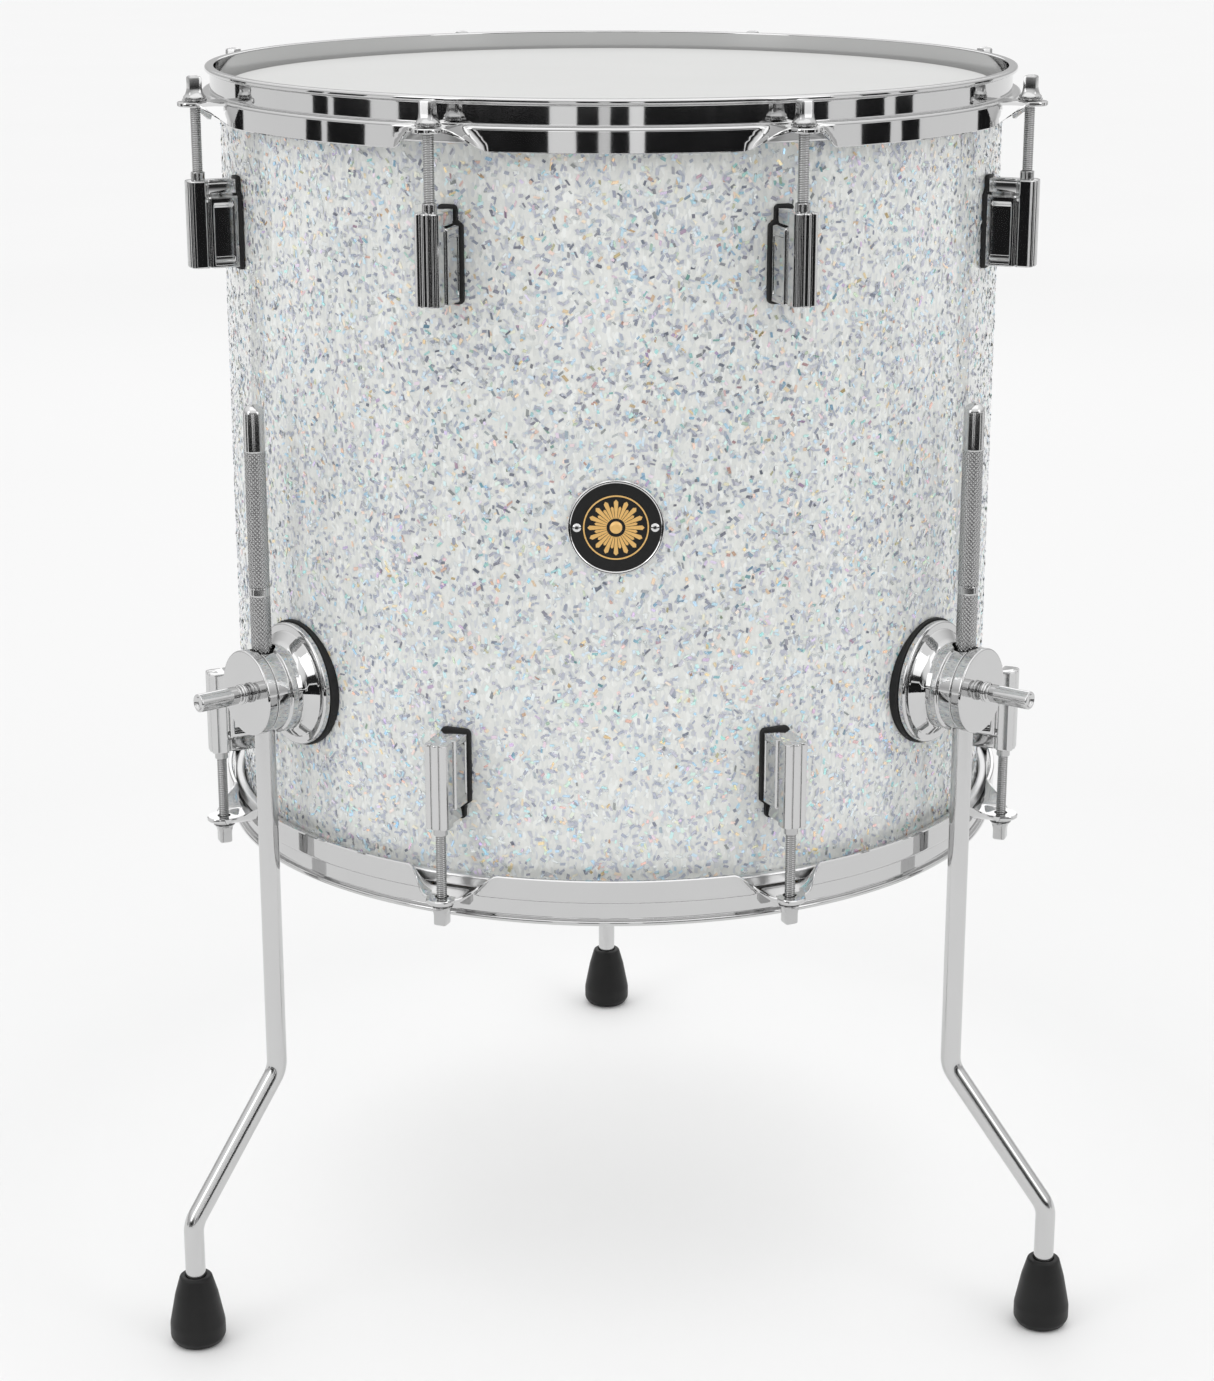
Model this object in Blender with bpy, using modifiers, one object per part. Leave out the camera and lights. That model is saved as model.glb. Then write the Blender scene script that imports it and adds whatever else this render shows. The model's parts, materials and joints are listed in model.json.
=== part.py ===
"""A 16 x 15 inch floor tom: wrapped shell, two hooped heads, sixteen lugs and three clamped legs.

Metres, +Z up. Every piece is placed about the drum's own axis, and one empty carries them all,
so that the middle of the object's base sits on the world origin. The badge faces -Y.
"""

import math

import bmesh
import bpy
from mathutils import Matrix

# ---- driving dimensions ------------------------------------------------------------------

GAP = 0.0003                    # between touching solids
RING_STEPS = 64                 # straight sides of everything turned about the drum's axis

SHELL_RADIUS = 0.2032           # outside, over the wrap
SHELL_DEPTH = 0.381
SHELL_WALL = 0.0066
BEARING_BEVEL = 0.003           # outer slope of the bearing edge
WRAP_THICKNESS = 0.0005
WRAP_MARGIN = 0.006             # bare wood between the wrap and each bearing edge
BOTTOM_RIM_Z = 0.2486           # height of the lower hoop's rim above the floor

HOOP_HEIGHT = 0.0244
HOOP_STEEL = 0.0023
HOOP_STANDOFF = 0.0027          # shell to the inside of the hoop's wall
HOOP_LIP_WIDTH = 0.0048         # inside of the wall to the edge of the turned-out lip
HOOP_LIP_DEPTH = 0.0024
HOOP_FLANGE_DEPTH = 0.0124      # rim to the top of the second flange
RIM_ABOVE_EDGE = 0.0102         # rim to bearing edge

FILM_THICKNESS = 0.0005
FLESH_HOOP_WIDTH = 0.0046
FLESH_HOOP_HEIGHT = 0.0062
FLESH_HOOP_CLEARANCE = 0.0008   # round the outside of the shell
SKIRT_CLEARANCE = 0.0018        # flesh hoop to the hoop's skirt

LUG_COUNT = 8
FIRST_LUG_ANGLE = math.radians(22.5)
LUG_FROM_RIM = 0.073            # rim to the middle of the lug
LUG_HEIGHT = 0.0435
LUG_BODY_WIDTH = 0.0138
LUG_COLUMN_WIDTH = 0.0122
LUG_COLUMN_DEPTH = 0.0095
LUG_PROUD = 0.0062              # lug front beyond the rod's axis

ROD_STANDOFF = 0.0206           # shell to a rod's axis
ROD_RADIUS = 0.0027
ROD_THREAD_IN_LUG = 0.021
ROD_BORE_CLEARANCE = 0.0004
ROD_FLANGE_RADIUS = 0.0058
ROD_FLANGE_HEIGHT = 0.0034
ROD_HEAD_WIDTH = 0.0064
ROD_HEAD_HEIGHT = 0.009
ROD_HEAD_CORNER = 1.3           # middle to an eased corner, in half widths
ROD_HEAD_FLARE = 0.0005         # the head's foot, beyond its half width
ROD_HEAD_CROWN = 0.001          # rounding of the head's top
EAR_RADIAL_MARGIN = 0.0092      # rod axis to the tip of the hoop's ear
EAR_HALF_WIDTH = 0.0078
EAR_FLANK = 0.014               # along the hoop, from the ear to the plain skirt
EAR_DROP = 0.0003               # second flange to the ear's upper face
EAR_CORNER = 0.0047             # along the ear, from its middle to where its tip rounds off

BRACKET_ABOVE_RIM = 0.1009      # lower rim to the bracket's axis
BRACKET_DEPTH = 0.0324          # shell to the bracket's flat face
BRACKET_CAP_RADIUS = 0.0218
BRACKET_CAP_THICKNESS = 0.006
BRACKET_BODY_RADIUS = 0.0213
BRACKET_WAIST_RADIUS = 0.0222
BRACKET_FLANGE_RADIUS = 0.0315
BRACKET_FLANGE_THICKNESS = 0.0035
BRACKET_FLARE_FOOT = 0.0025     # the flat start of the flare, from the flange
BRACKET_FLARE_DEPTH = 0.0082    # flange to the end of the flare
BRACKET_RING_DEPTH = 0.0041     # end of the flare to the plain body
BRACKET_EDGE = 0.0007
GASKET_THICKNESS = 0.002
GASKET_RADIUS = 0.0325

LEG_ANGLES = {"left": math.radians(-52), "right": math.radians(52), "back": math.radians(180)}
LEG_SWIVELS = {"left": 0.0, "right": math.radians(17), "back": 0.0}
LEG_RADIUS = 0.00525
LEG_ABOVE_BRACKET = 0.1465      # bracket's axis to the leg's rounded top
LEG_BEND_TOP_Z = 0.141
LEG_BEND_BOTTOM_Z = 0.068
LEG_TIP_SHARE = 0.3             # flat on the leg's rounded top, as a share of its radius
LEG_OFFSET = 0.0543             # foot's axis outward of the leg's axis
LEG_BEND_RADIUS = 0.016
LEG_BEND_STEPS = 5
LEG_TIP_STEPS = 4

BUSH_WALL = 0.001
BUSH_HALF_HEIGHT = 0.0165
PAD_RADIUS = 0.004
PAD_THICKNESS = 0.0012
SCREW_ENGAGEMENT = 0.00205      # shank inside the bracket's face
SCREW_SHANK_RADIUS = 0.004
SCREW_SHOULDER = 0.0002
SCREW_BEAD_START = 0.0012       # these three are from the bracket's face
SCREW_BEAD_END = 0.0036
SCREW_HANDLE_START = 0.0055
SCREW_BEAD_RADIUS = 0.0051
SCREW_NECK_RADIUS = 0.0037
SCREW_HANDLE_RADIUS = 0.0046
SCREW_HANDLE_END = 0.0278       # bracket face to the end of the handle

FOOT_HEIGHT = 0.0385
FOOT_RADIUS = 0.0145
FOOT_TOP_RADIUS = 0.0083
FOOT_REST_RADIUS = 0.0085
FOOT_WIDEST_Z = 0.0095
FOOT_STEPS = 4                  # points down the bell, and round its lower edge
FOOT_FLOOR = 0.012              # rubber under the leg's end

BADGE_RADIUS = 0.0232
BADGE_THICKNESS = 0.0012

# ---- worked out from the sizes above -----------------------------------------------------

WOOD_RADIUS = SHELL_RADIUS - WRAP_THICKNESS - GAP
SHELL_INNER_RADIUS = WOOD_RADIUS - SHELL_WALL
HOOP_INNER_RADIUS = SHELL_RADIUS + HOOP_STANDOFF
HOOP_LIP_RADIUS = HOOP_INNER_RADIUS + HOOP_LIP_WIDTH
ROD_CIRCLE_RADIUS = SHELL_RADIUS + ROD_STANDOFF
SHELL_BOTTOM_Z = BOTTOM_RIM_Z + RIM_ABOVE_EDGE
SHELL_MIDDLE_Z = SHELL_BOTTOM_Z + SHELL_DEPTH / 2
TOP_RIM_Z = BOTTOM_RIM_Z + SHELL_DEPTH + 2 * RIM_ABOVE_EDGE
FLESH_INNER = SHELL_RADIUS + FLESH_HOOP_CLEARANCE
FLESH_OUTER = FLESH_INNER + FLESH_HOOP_WIDTH
SKIRT_INNER = FLESH_OUTER + SKIRT_CLEARANCE
EAR_TIP_RADIUS = ROD_CIRCLE_RADIUS + EAR_RADIAL_MARGIN
EAR_TOP_Z = -HOOP_FLANGE_DEPTH - EAR_DROP
LUG_FRONT_RADIUS = ROD_CIRCLE_RADIUS + LUG_PROUD
LUG_TOP_Z = LUG_HEIGHT / 2 - LUG_FROM_RIM
BRACKET_AXIS_Z = BOTTOM_RIM_Z + BRACKET_ABOVE_RIM
BRACKET_FACE_RADIUS = SHELL_RADIUS + BRACKET_DEPTH
BRACKET_BACK_RADIUS = SHELL_RADIUS + GAP + GASKET_THICKNESS
BUSH_INNER = LEG_RADIUS + GAP
BUSH_OUTER = BUSH_INNER + BUSH_WALL
PAD_FRONT_RADIUS = BRACKET_FACE_RADIUS - SCREW_ENGAGEMENT - GAP
PAD_BACK_RADIUS = PAD_FRONT_RADIUS - PAD_THICKNESS
LEG_AXIS_RADIUS = PAD_BACK_RADIUS - GAP - BUSH_OUTER
LEG_TOP_Z = BRACKET_AXIS_Z + LEG_ABOVE_BRACKET
FOOT_TIP_Z = FOOT_FLOOR + GAP
LUG_ANGLES = [FIRST_LUG_ANGLE + k * math.tau / LUG_COUNT for k in range(LUG_COUNT)]


# ---- scene and materials -----------------------------------------------------------------

def clear_scene():
    for obj in list(bpy.data.objects):
        bpy.data.objects.remove(obj, do_unlink=True)


def new_collection(name):
    collection = bpy.data.collections.new(name)
    bpy.context.scene.collection.children.link(collection)
    return collection


def finish(name, colour, roughness, metallic=0.0):
    material = bpy.data.materials.new(name)
    material.use_nodes = True
    shader = material.node_tree.nodes["Principled BSDF"]
    shader.inputs["Base Color"].default_value = (*colour, 1.0)
    shader.inputs["Roughness"].default_value = roughness
    shader.inputs["Metallic"].default_value = metallic
    material.diffuse_color = (*colour, 1.0)
    return material


clear_scene()
PARTS = new_collection("floor_tom")
CUTTERS = new_collection("cutters")
CHROME = (0.80, 0.81, 0.82)
RUBBER = (0.02, 0.02, 0.021)


def add_object(name, data, collection=PARTS):
    obj = bpy.data.objects.new(name, data)
    collection.objects.link(obj)
    return obj


def hide_as_cutter(obj):
    """A helper stays out of the render and out of the model."""
    for collection in list(obj.users_collection):
        collection.objects.unlink(obj)
    CUTTERS.objects.link(obj)
    obj.hide_render = True
    obj.display_type = "WIRE"
    return obj


# ---- shapes ------------------------------------------------------------------------------

def smooth(mesh, degrees=35):
    mesh.shade_smooth()
    mesh.set_sharp_from_angle(angle=math.radians(degrees))
    return mesh


def frozen(obj):
    """The object's evaluated mesh as plain data. The object itself goes."""
    bpy.context.view_layer.update()
    evaluated = obj.evaluated_get(bpy.context.evaluated_depsgraph_get())
    mesh = bpy.data.meshes.new_from_object(evaluated)
    bpy.data.objects.remove(obj, do_unlink=True)
    return mesh


def turned(name, profile, steps, closed=True):
    """Turns (radius, height) points about Z. They run down the outer side, top to bottom.

    A closed profile joins its last point to its first. An open one starts and ends on the axis.
    """
    mesh = bpy.data.meshes.new(name)
    edges = [(i, i + 1) for i in range(len(profile) - 1)]
    if closed:
        edges.append((len(profile) - 1, 0))
    mesh.from_pydata([(r, 0, z) for r, z in profile], edges, [])
    obj = add_object(name, mesh)
    screw = obj.modifiers.new("turn", "SCREW")
    screw.steps = screw.render_steps = steps
    screw.use_merge_vertices = True
    screw.merge_threshold = 0.00005
    return smooth(frozen(obj))


def cylinder(radius, low, high, steps=24):
    """A solid cylinder along Z, for pieces and cutters."""
    mesh = bpy.data.meshes.new("cylinder")
    work = bmesh.new()
    place = Matrix.Translation((0, 0, (low + high) / 2))
    bmesh.ops.create_cone(
        work, cap_ends=True, segments=steps, radius1=radius, radius2=radius, depth=high - low, matrix=place
    )
    work.to_mesh(mesh)
    work.free()
    return mesh


def cut(mesh, *cutters):
    """The mesh less each (mesh, matrix) cutter."""
    obj = add_object("blank", mesh)
    helpers = []
    for cutter_mesh, matrix in cutters:
        helper = hide_as_cutter(add_object("cutter", cutter_mesh))
        helper.matrix_world = matrix
        boolean = obj.modifiers.new("cut", "BOOLEAN")
        boolean.operation = "DIFFERENCE"
        boolean.solver = "EXACT"
        boolean.object = helper
        helpers.append(helper)
    result = frozen(obj)
    for helper in helpers:
        bpy.data.objects.remove(helper, do_unlink=True)
    return smooth(result)


def extruded(outline, low, high):
    """An outline of (x, z) points, carried along Y from low to high."""
    mesh = bpy.data.meshes.new("extrusion")
    work = bmesh.new()
    face = work.faces.new([work.verts.new((x, low, z)) for x, z in outline])
    moved = bmesh.ops.extrude_face_region(work, geom=[face])["geom"]
    bmesh.ops.translate(
        work, vec=(0, high - low, 0), verts=[v for v in moved if isinstance(v, bmesh.types.BMVert)]
    )
    bmesh.ops.recalc_face_normals(work, faces=work.faces)
    work.to_mesh(mesh)
    work.free()
    return mesh


# ---- placing -----------------------------------------------------------------------------

def foot_centre(side):
    """Where a foot's axis meets the floor, about the drum's axis."""
    leg, turn = LEG_ANGLES[side], LEG_ANGLES[side] + LEG_SWIVELS[side]
    x = LEG_AXIS_RADIUS * math.sin(leg) + LEG_OFFSET * math.sin(turn)
    y = -LEG_AXIS_RADIUS * math.cos(leg) - LEG_OFFSET * math.cos(turn)
    return x, y


def base_centre():
    """The middle of the object's box, about the drum's axis: the feet and the front ears reach furthest."""
    feet = [foot_centre(side) for side in LEG_ANGLES]
    front = min(-EAR_TIP_RADIUS * math.cos(angle) for angle in LUG_ANGLES)
    low_x = min(x for x, y in feet) - FOOT_RADIUS
    high_x = max(x for x, y in feet) + FOOT_RADIUS
    high_y = max(y for x, y in feet) + FOOT_RADIUS
    return (low_x + high_x) / 2, (front + high_y) / 2


CENTRE_X, CENTRE_Y = base_centre()
DRUM = add_object("drum_axis", None)
DRUM.location = (-CENTRE_X, -CENTRE_Y, 0)


def place(name, data, material, location=(0, 0, 0), rotation=(0, 0, 0)):
    """One node of the part, located about the drum's axis."""
    obj = add_object(name, data)
    obj.parent = DRUM
    obj.location = location
    obj.rotation_euler = rotation
    if not data.materials:
        data.materials.append(material)
    return obj


def facing(angle):
    """Local Z points outward at this angle from the front, and local Y points up."""
    return math.pi / 2, 0, angle


def facing_upside_down(angle):
    """Local Z points outward and local Y points down."""
    return -math.pi / 2, 0, angle + math.pi


def on_circle(radius, angle, height):
    return radius * math.sin(angle), -radius * math.cos(angle), height


# ---- shell, wrap and heads ---------------------------------------------------------------

def make_shell():
    top = SHELL_DEPTH / 2
    peak = WOOD_RADIUS - BEARING_BEVEL
    inner_slope = peak - SHELL_INNER_RADIUS
    outer = [(peak, top), (WOOD_RADIUS, top - BEARING_BEVEL)]
    inner = [(SHELL_INNER_RADIUS, top - inner_slope)]
    profile = outer + [(r, -z) for r, z in reversed(outer)] + [(r, -z) for r, z in inner] + inner
    wood = finish("maple_shell", (0.62, 0.45, 0.27), 0.5)
    place("shell", turned("shell", profile, RING_STEPS), wood, (0, 0, SHELL_MIDDLE_Z))


def make_wrap():
    top = SHELL_DEPTH / 2 - WRAP_MARGIN
    inner = SHELL_RADIUS - WRAP_THICKNESS
    profile = [(SHELL_RADIUS, top), (SHELL_RADIUS, -top), (inner, -top), (inner, top)]
    glitter = finish("glass_glitter_wrap", (0.72, 0.75, 0.74), 0.25)
    place("wrap", turned("wrap", profile, RING_STEPS), glitter, (0, 0, SHELL_MIDDLE_Z))


def make_heads():
    """Each head is a film, tucked down over the bearing edge, with its flesh hoop bonded on.

    Heights are from the rim. The flesh hoop hangs just under the counterhoop's second flange.
    """
    edge = -RIM_ABOVE_EDGE
    under = edge + GAP
    over = under + FILM_THICKNESS
    flesh_top = -HOOP_FLANGE_DEPTH - HOOP_STEEL - 2 * GAP
    flesh_bottom = flesh_top - FLESH_HOOP_HEIGHT
    shoulder = WOOD_RADIUS - BEARING_BEVEL + GAP
    film_outer = FLESH_INNER + FILM_THICKNESS
    profile = [
        (0, over),
        (shoulder, over),
        (film_outer, over - BEARING_BEVEL),
        (film_outer, flesh_top),
        (FLESH_OUTER, flesh_top),
        (FLESH_OUTER, flesh_bottom),
        (FLESH_INNER, flesh_bottom),
        (FLESH_INNER, under - BEARING_BEVEL),
        (shoulder, under),
        (0, under),
    ]
    mesh = turned("head", profile, RING_STEPS, closed=False)
    white = finish("coated_head", (0.83, 0.84, 0.84), 0.6)
    place("batter_head", mesh, white, (0, 0, TOP_RIM_Z))
    place("resonant_head", mesh, white, (0, 0, BOTTOM_RIM_Z), (math.pi, 0, 0))


# ---- hoops -------------------------------------------------------------------------------

def blend(a, b, share):
    return a + (b - a) * share


def ear_share(run):
    """1 over an ear, 0 over the plain skirt, with a smooth flank between. run is along the hoop."""
    share = 1 - min(max((abs(run) - EAR_HALF_WIDTH) / EAR_FLANK, 0), 1)
    return share * share * (3 - 2 * share)


def ear_reach(run):
    """How far the ear's rounded tip stands out at this distance from its middle."""
    half = EAR_HALF_WIDTH
    return EAR_TIP_RADIUS - half + math.sqrt(max(half * half - run * run, 0))


def hoop_section(run):
    """The hoop's outline at one place, as (radius, height) from the rim, down the outer side."""
    wall_outer = HOOP_INNER_RADIUS + HOOP_STEEL
    skirt_outer = SKIRT_INNER + HOOP_STEEL
    share = ear_share(run)
    under_flange = -HOOP_FLANGE_DEPTH - HOOP_STEEL
    under_ear = EAR_TOP_Z - HOOP_STEEL
    tip = max(ear_reach(run), skirt_outer)
    lower_edge = blend(-HOOP_HEIGHT, under_ear, share)
    return [
        (HOOP_INNER_RADIUS + HOOP_STEEL / 4, 0),
        (HOOP_LIP_RADIUS, 0),
        (HOOP_LIP_RADIUS, -HOOP_LIP_DEPTH),
        (wall_outer, -HOOP_LIP_DEPTH - HOOP_STEEL / 4),
        (wall_outer, -HOOP_FLANGE_DEPTH),
        (blend(skirt_outer - HOOP_STEEL / 3, tip, share), blend(under_flange, EAR_TOP_Z, share)),
        (blend(skirt_outer, tip, share), lower_edge),
        (blend(SKIRT_INNER, tip - HOOP_STEEL, share), lower_edge),
        (SKIRT_INNER, under_flange - 2 * GAP * share),
        (HOOP_INNER_RADIUS, under_flange),
    ]


def hoop_stations():
    """(angle, run) round the hoop: close together at each ear, wide apart between."""
    flank_middle, flank_end = EAR_HALF_WIDTH + EAR_FLANK / 2, EAR_HALF_WIDTH + EAR_FLANK
    runs = [0, EAR_CORNER, EAR_HALF_WIDTH, flank_middle, flank_end]
    near = sorted({s * run for run in runs for s in (-1, 1)})
    half_pitch = math.pi / LUG_COUNT
    last = runs[-1] / ROD_CIRCLE_RADIUS
    plain = [blend(last, half_pitch, 0.5)]
    for ear in LUG_ANGLES:
        for offset in [-p for p in reversed(plain)]:
            yield ear + offset, offset * ROD_CIRCLE_RADIUS
        for run in near:
            yield ear + run / ROD_CIRCLE_RADIUS, run
        for offset in plain:
            yield ear + offset, offset * ROD_CIRCLE_RADIUS
        yield ear + half_pitch, half_pitch * ROD_CIRCLE_RADIUS


def lofted_hoop():
    """Sections whose shape changes round the hoop, joined ring to ring."""
    work = bmesh.new()
    rings = []
    for angle, run in hoop_stations():
        section = hoop_section(run)
        rings.append([work.verts.new(on_circle(r, angle, z)) for r, z in section])
    for ring, following in zip(rings, rings[1:] + rings[:1]):
        for i in range(len(ring)):
            j = (i + 1) % len(ring)
            work.faces.new((ring[i], ring[j], following[j], following[i]))
    bmesh.ops.recalc_face_normals(work, faces=work.faces)
    mesh = bpy.data.meshes.new("hoop")
    work.to_mesh(mesh)
    work.free()
    return mesh


def make_hoops():
    hole = cylinder(ROD_RADIUS + 2 * ROD_BORE_CLEARANCE, 2 * EAR_TOP_Z, 0, steps=12)
    holes = [
        (hole, Matrix.Translation(on_circle(ROD_CIRCLE_RADIUS, angle, 0))) for angle in LUG_ANGLES
    ]
    mesh = cut(lofted_hoop(), *holes)
    chrome = finish("hoop_chrome", CHROME, 0.06, 1.0)
    place("top_hoop", mesh, chrome, (0, 0, TOP_RIM_Z))
    place("bottom_hoop", mesh, chrome, (0, 0, BOTTOM_RIM_Z), (math.pi, 0, 0))


# ---- lugs and tension rods ---------------------------------------------------------------

def lug_mesh():
    """A narrow body with a slightly slimmer front column, bored from its rod end. Local Y is up."""
    back = SHELL_RADIUS + GAP
    step = LUG_FRONT_RADIUS - LUG_COLUMN_DEPTH
    body, column = LUG_BODY_WIDTH / 2, LUG_COLUMN_WIDTH / 2
    edge = (LUG_BODY_WIDTH - LUG_COLUMN_WIDTH) / 2
    outline = [
        (-body, back), (body, back), (body, step), (column, step + edge),
        (column, LUG_FRONT_RADIUS - edge), (column - edge, LUG_FRONT_RADIUS),
        (edge - column, LUG_FRONT_RADIUS), (-column, LUG_FRONT_RADIUS - edge),
        (-column, step + edge), (-body, step),
    ]
    block = extruded(outline, LUG_TOP_Z - LUG_HEIGHT, LUG_TOP_Z)
    bore_depth = ROD_THREAD_IN_LUG + 2 * GAP
    bore = cylinder(ROD_RADIUS + ROD_BORE_CLEARANCE, -bore_depth, bore_depth, steps=16)
    down = Matrix.Translation((0, LUG_TOP_Z, ROD_CIRCLE_RADIUS)) @ Matrix.Rotation(-math.pi / 2, 4, "X")
    return cut(block, (bore, down))


def rod_mesh():
    """A tension rod: threaded shaft, bell flange with its washer, square head. Height 0 is the rim."""
    seat = EAR_TOP_Z + GAP
    flange_top = seat + ROD_FLANGE_HEIGHT
    head_top = flange_top + ROD_HEAD_HEIGHT
    half = ROD_HEAD_WIDTH / 2
    shaft = [(ROD_RADIUS, LUG_TOP_Z - ROD_THREAD_IN_LUG), (ROD_RADIUS, seat)]
    flange = [(ROD_FLANGE_RADIUS, seat), (ROD_FLANGE_RADIUS, seat + ROD_FLANGE_HEIGHT / 2)]
    head = [
        (half + ROD_HEAD_FLARE, flange_top + half / 2),
        (half, flange_top + half),
        (half, head_top - ROD_HEAD_CROWN),
        (half - ROD_HEAD_CROWN, head_top),
    ]
    sections = [(r, z, 0.0) for r, z in shaft + flange] + [(r, z, 1.0) for r, z in head]
    return stacked(sections, steps=8)


def square_share(angle, share):
    """Radius of a circle (share 0) or of a square with eased corners (share 1), for a half width of 1."""
    square = min(1 / max(abs(math.cos(angle)), abs(math.sin(angle))), ROD_HEAD_CORNER)
    return blend(1.0, square, share)


def stacked(sections, steps):
    """Rings of (half width, height, squareness), joined bottom to top and capped."""
    work = bmesh.new()
    rings = []
    for radius, height, share in sections:
        ring = []
        for k in range(steps):
            angle = math.tau * k / steps
            reach = radius * square_share(angle, share)
            ring.append(work.verts.new((reach * math.cos(angle), reach * math.sin(angle), height)))
        rings.append(ring)
    for low, high in zip(rings, rings[1:]):
        for i in range(steps):
            j = (i + 1) % steps
            work.faces.new((low[i], low[j], high[j], high[i]))
    work.faces.new(list(reversed(rings[0])))
    work.faces.new(rings[-1])
    mesh = bpy.data.meshes.new("stack")
    work.to_mesh(mesh)
    work.free()
    return smooth(mesh)


def make_lugs_and_rods():
    lug, rod = lug_mesh(), rod_mesh()
    lug_chrome = finish("lug_chrome", CHROME, 0.08, 1.0)
    rod_steel = finish("rod_steel", (0.72, 0.73, 0.74), 0.15, 1.0)
    for number, angle in enumerate(LUG_ANGLES, start=1):
        place(f"top_lug_{number}", lug, lug_chrome, (0, 0, TOP_RIM_Z), facing(angle))
        place(f"bottom_lug_{number}", lug, lug_chrome, (0, 0, BOTTOM_RIM_Z), facing_upside_down(angle))
        top = on_circle(ROD_CIRCLE_RADIUS, angle, TOP_RIM_Z)
        bottom = on_circle(ROD_CIRCLE_RADIUS, angle, BOTTOM_RIM_Z)
        place(f"top_rod_{number}", rod, rod_steel, top, (0, 0, angle))
        place(f"bottom_rod_{number}", rod, rod_steel, bottom, (math.pi, 0, angle))


# ---- leg brackets ------------------------------------------------------------------------

def along_up(radius_from_axis):
    """Turns a cutter that runs along Z to run along local Y, at this distance from the drum's axis."""
    return Matrix.Translation((0, 0, radius_from_axis)) @ Matrix.Rotation(math.pi / 2, 4, "X")


def bracket_mesh():
    """Turned about the outward axis: face, cap, body, flared waist and flange, bored for leg and screw."""
    face, back = BRACKET_FACE_RADIUS, BRACKET_BACK_RADIUS
    parting = face - BRACKET_CAP_THICKNESS
    flange_front = back + BRACKET_FLANGE_THICKNESS
    flare_end = flange_front + BRACKET_FLARE_DEPTH
    profile = [
        (0, face),
        (BRACKET_CAP_RADIUS - BRACKET_EDGE, face),
        (BRACKET_CAP_RADIUS, face - BRACKET_EDGE),
        (BRACKET_CAP_RADIUS, parting),
        (BRACKET_BODY_RADIUS, parting - BRACKET_EDGE),
        (BRACKET_BODY_RADIUS, flare_end + BRACKET_RING_DEPTH),
        (BRACKET_WAIST_RADIUS, flare_end),
        ((BRACKET_WAIST_RADIUS + BRACKET_FLANGE_RADIUS) / 2, flange_front + BRACKET_FLARE_FOOT),
        (BRACKET_FLANGE_RADIUS - 2 * BRACKET_EDGE, flange_front),
        (BRACKET_FLANGE_RADIUS, flange_front - BRACKET_EDGE),
        (BRACKET_FLANGE_RADIUS, back),
        (0, back),
    ]
    body = turned("bracket", profile, 24, closed=False)
    leg_hole = cylinder(BUSH_OUTER + GAP, -BRACKET_FLANGE_RADIUS, BRACKET_FLANGE_RADIUS, steps=24)
    screw_hole = cylinder(SCREW_SHANK_RADIUS + GAP, LEG_AXIS_RADIUS, face + BRACKET_EDGE, steps=16)
    return cut(body, (leg_hole, along_up(LEG_AXIS_RADIUS)), (screw_hole, Matrix.Identity(4)))


def gasket_mesh():
    """A flat-fronted rubber disc whose back is hollowed to the shell's curve."""
    front = BRACKET_BACK_RADIUS - GAP
    sink = SHELL_RADIUS - math.sqrt(SHELL_RADIUS ** 2 - GASKET_RADIUS ** 2)
    disc = cylinder(GASKET_RADIUS, front - GASKET_THICKNESS - 2 * sink, front, steps=32)
    shell = cylinder(SHELL_RADIUS + GAP, -2 * GASKET_RADIUS, 2 * GASKET_RADIUS, steps=4 * RING_STEPS)
    return cut(disc, (shell, along_up(0)))


def bush_mesh():
    profile = [
        (BUSH_OUTER, BUSH_HALF_HEIGHT),
        (BUSH_OUTER, -BUSH_HALF_HEIGHT),
        (BUSH_INNER, -BUSH_HALF_HEIGHT),
        (BUSH_INNER, BUSH_HALF_HEIGHT),
    ]
    return turned("bush", profile, 24)


def screw_mesh():
    """The clamp screw: shank in the bracket's face, ringed bead, plain handle. Local Z is outward."""
    tip = PAD_FRONT_RADIUS + GAP
    face = BRACKET_FACE_RADIUS + GAP
    end = BRACKET_FACE_RADIUS + SCREW_HANDLE_END
    bead, neck, handle = SCREW_BEAD_RADIUS, SCREW_NECK_RADIUS, SCREW_HANDLE_RADIUS
    dish = handle / 4
    profile = [
        (0, end - dish / 4),
        (handle - dish, end),
        (handle, end - dish),
        (handle, face + SCREW_HANDLE_START),
        (neck, face + SCREW_HANDLE_START - (handle - neck)),
        (bead, face + SCREW_BEAD_END),
        (bead, face + SCREW_BEAD_START),
        (neck, face),
        (SCREW_SHANK_RADIUS, face - SCREW_SHOULDER),
        (SCREW_SHANK_RADIUS, tip),
        (0, tip),
    ]
    return turned("screw", profile, 12, closed=False)


# ---- legs and feet -----------------------------------------------------------------------

def bend_points(outward, height, before, after):
    """A bend of LEG_BEND_RADIUS at a corner. before and after are headings, in radians from straight down."""
    turn = abs(after - before)
    reach = LEG_BEND_RADIUS * math.tan(turn / 2)
    side = 1 if after > before else -1
    start_x = outward - reach * math.sin(before)
    start_z = height + reach * math.cos(before)
    centre_x = start_x + side * LEG_BEND_RADIUS * math.cos(before)
    centre_z = start_z + side * LEG_BEND_RADIUS * math.sin(before)
    points = []
    for k in range(LEG_BEND_STEPS + 1):
        heading = before + (after - before) * k / LEG_BEND_STEPS
        x = centre_x - side * LEG_BEND_RADIUS * math.cos(heading)
        z = centre_z - side * LEG_BEND_RADIUS * math.sin(heading)
        points.append((x, z))
    return points


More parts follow.
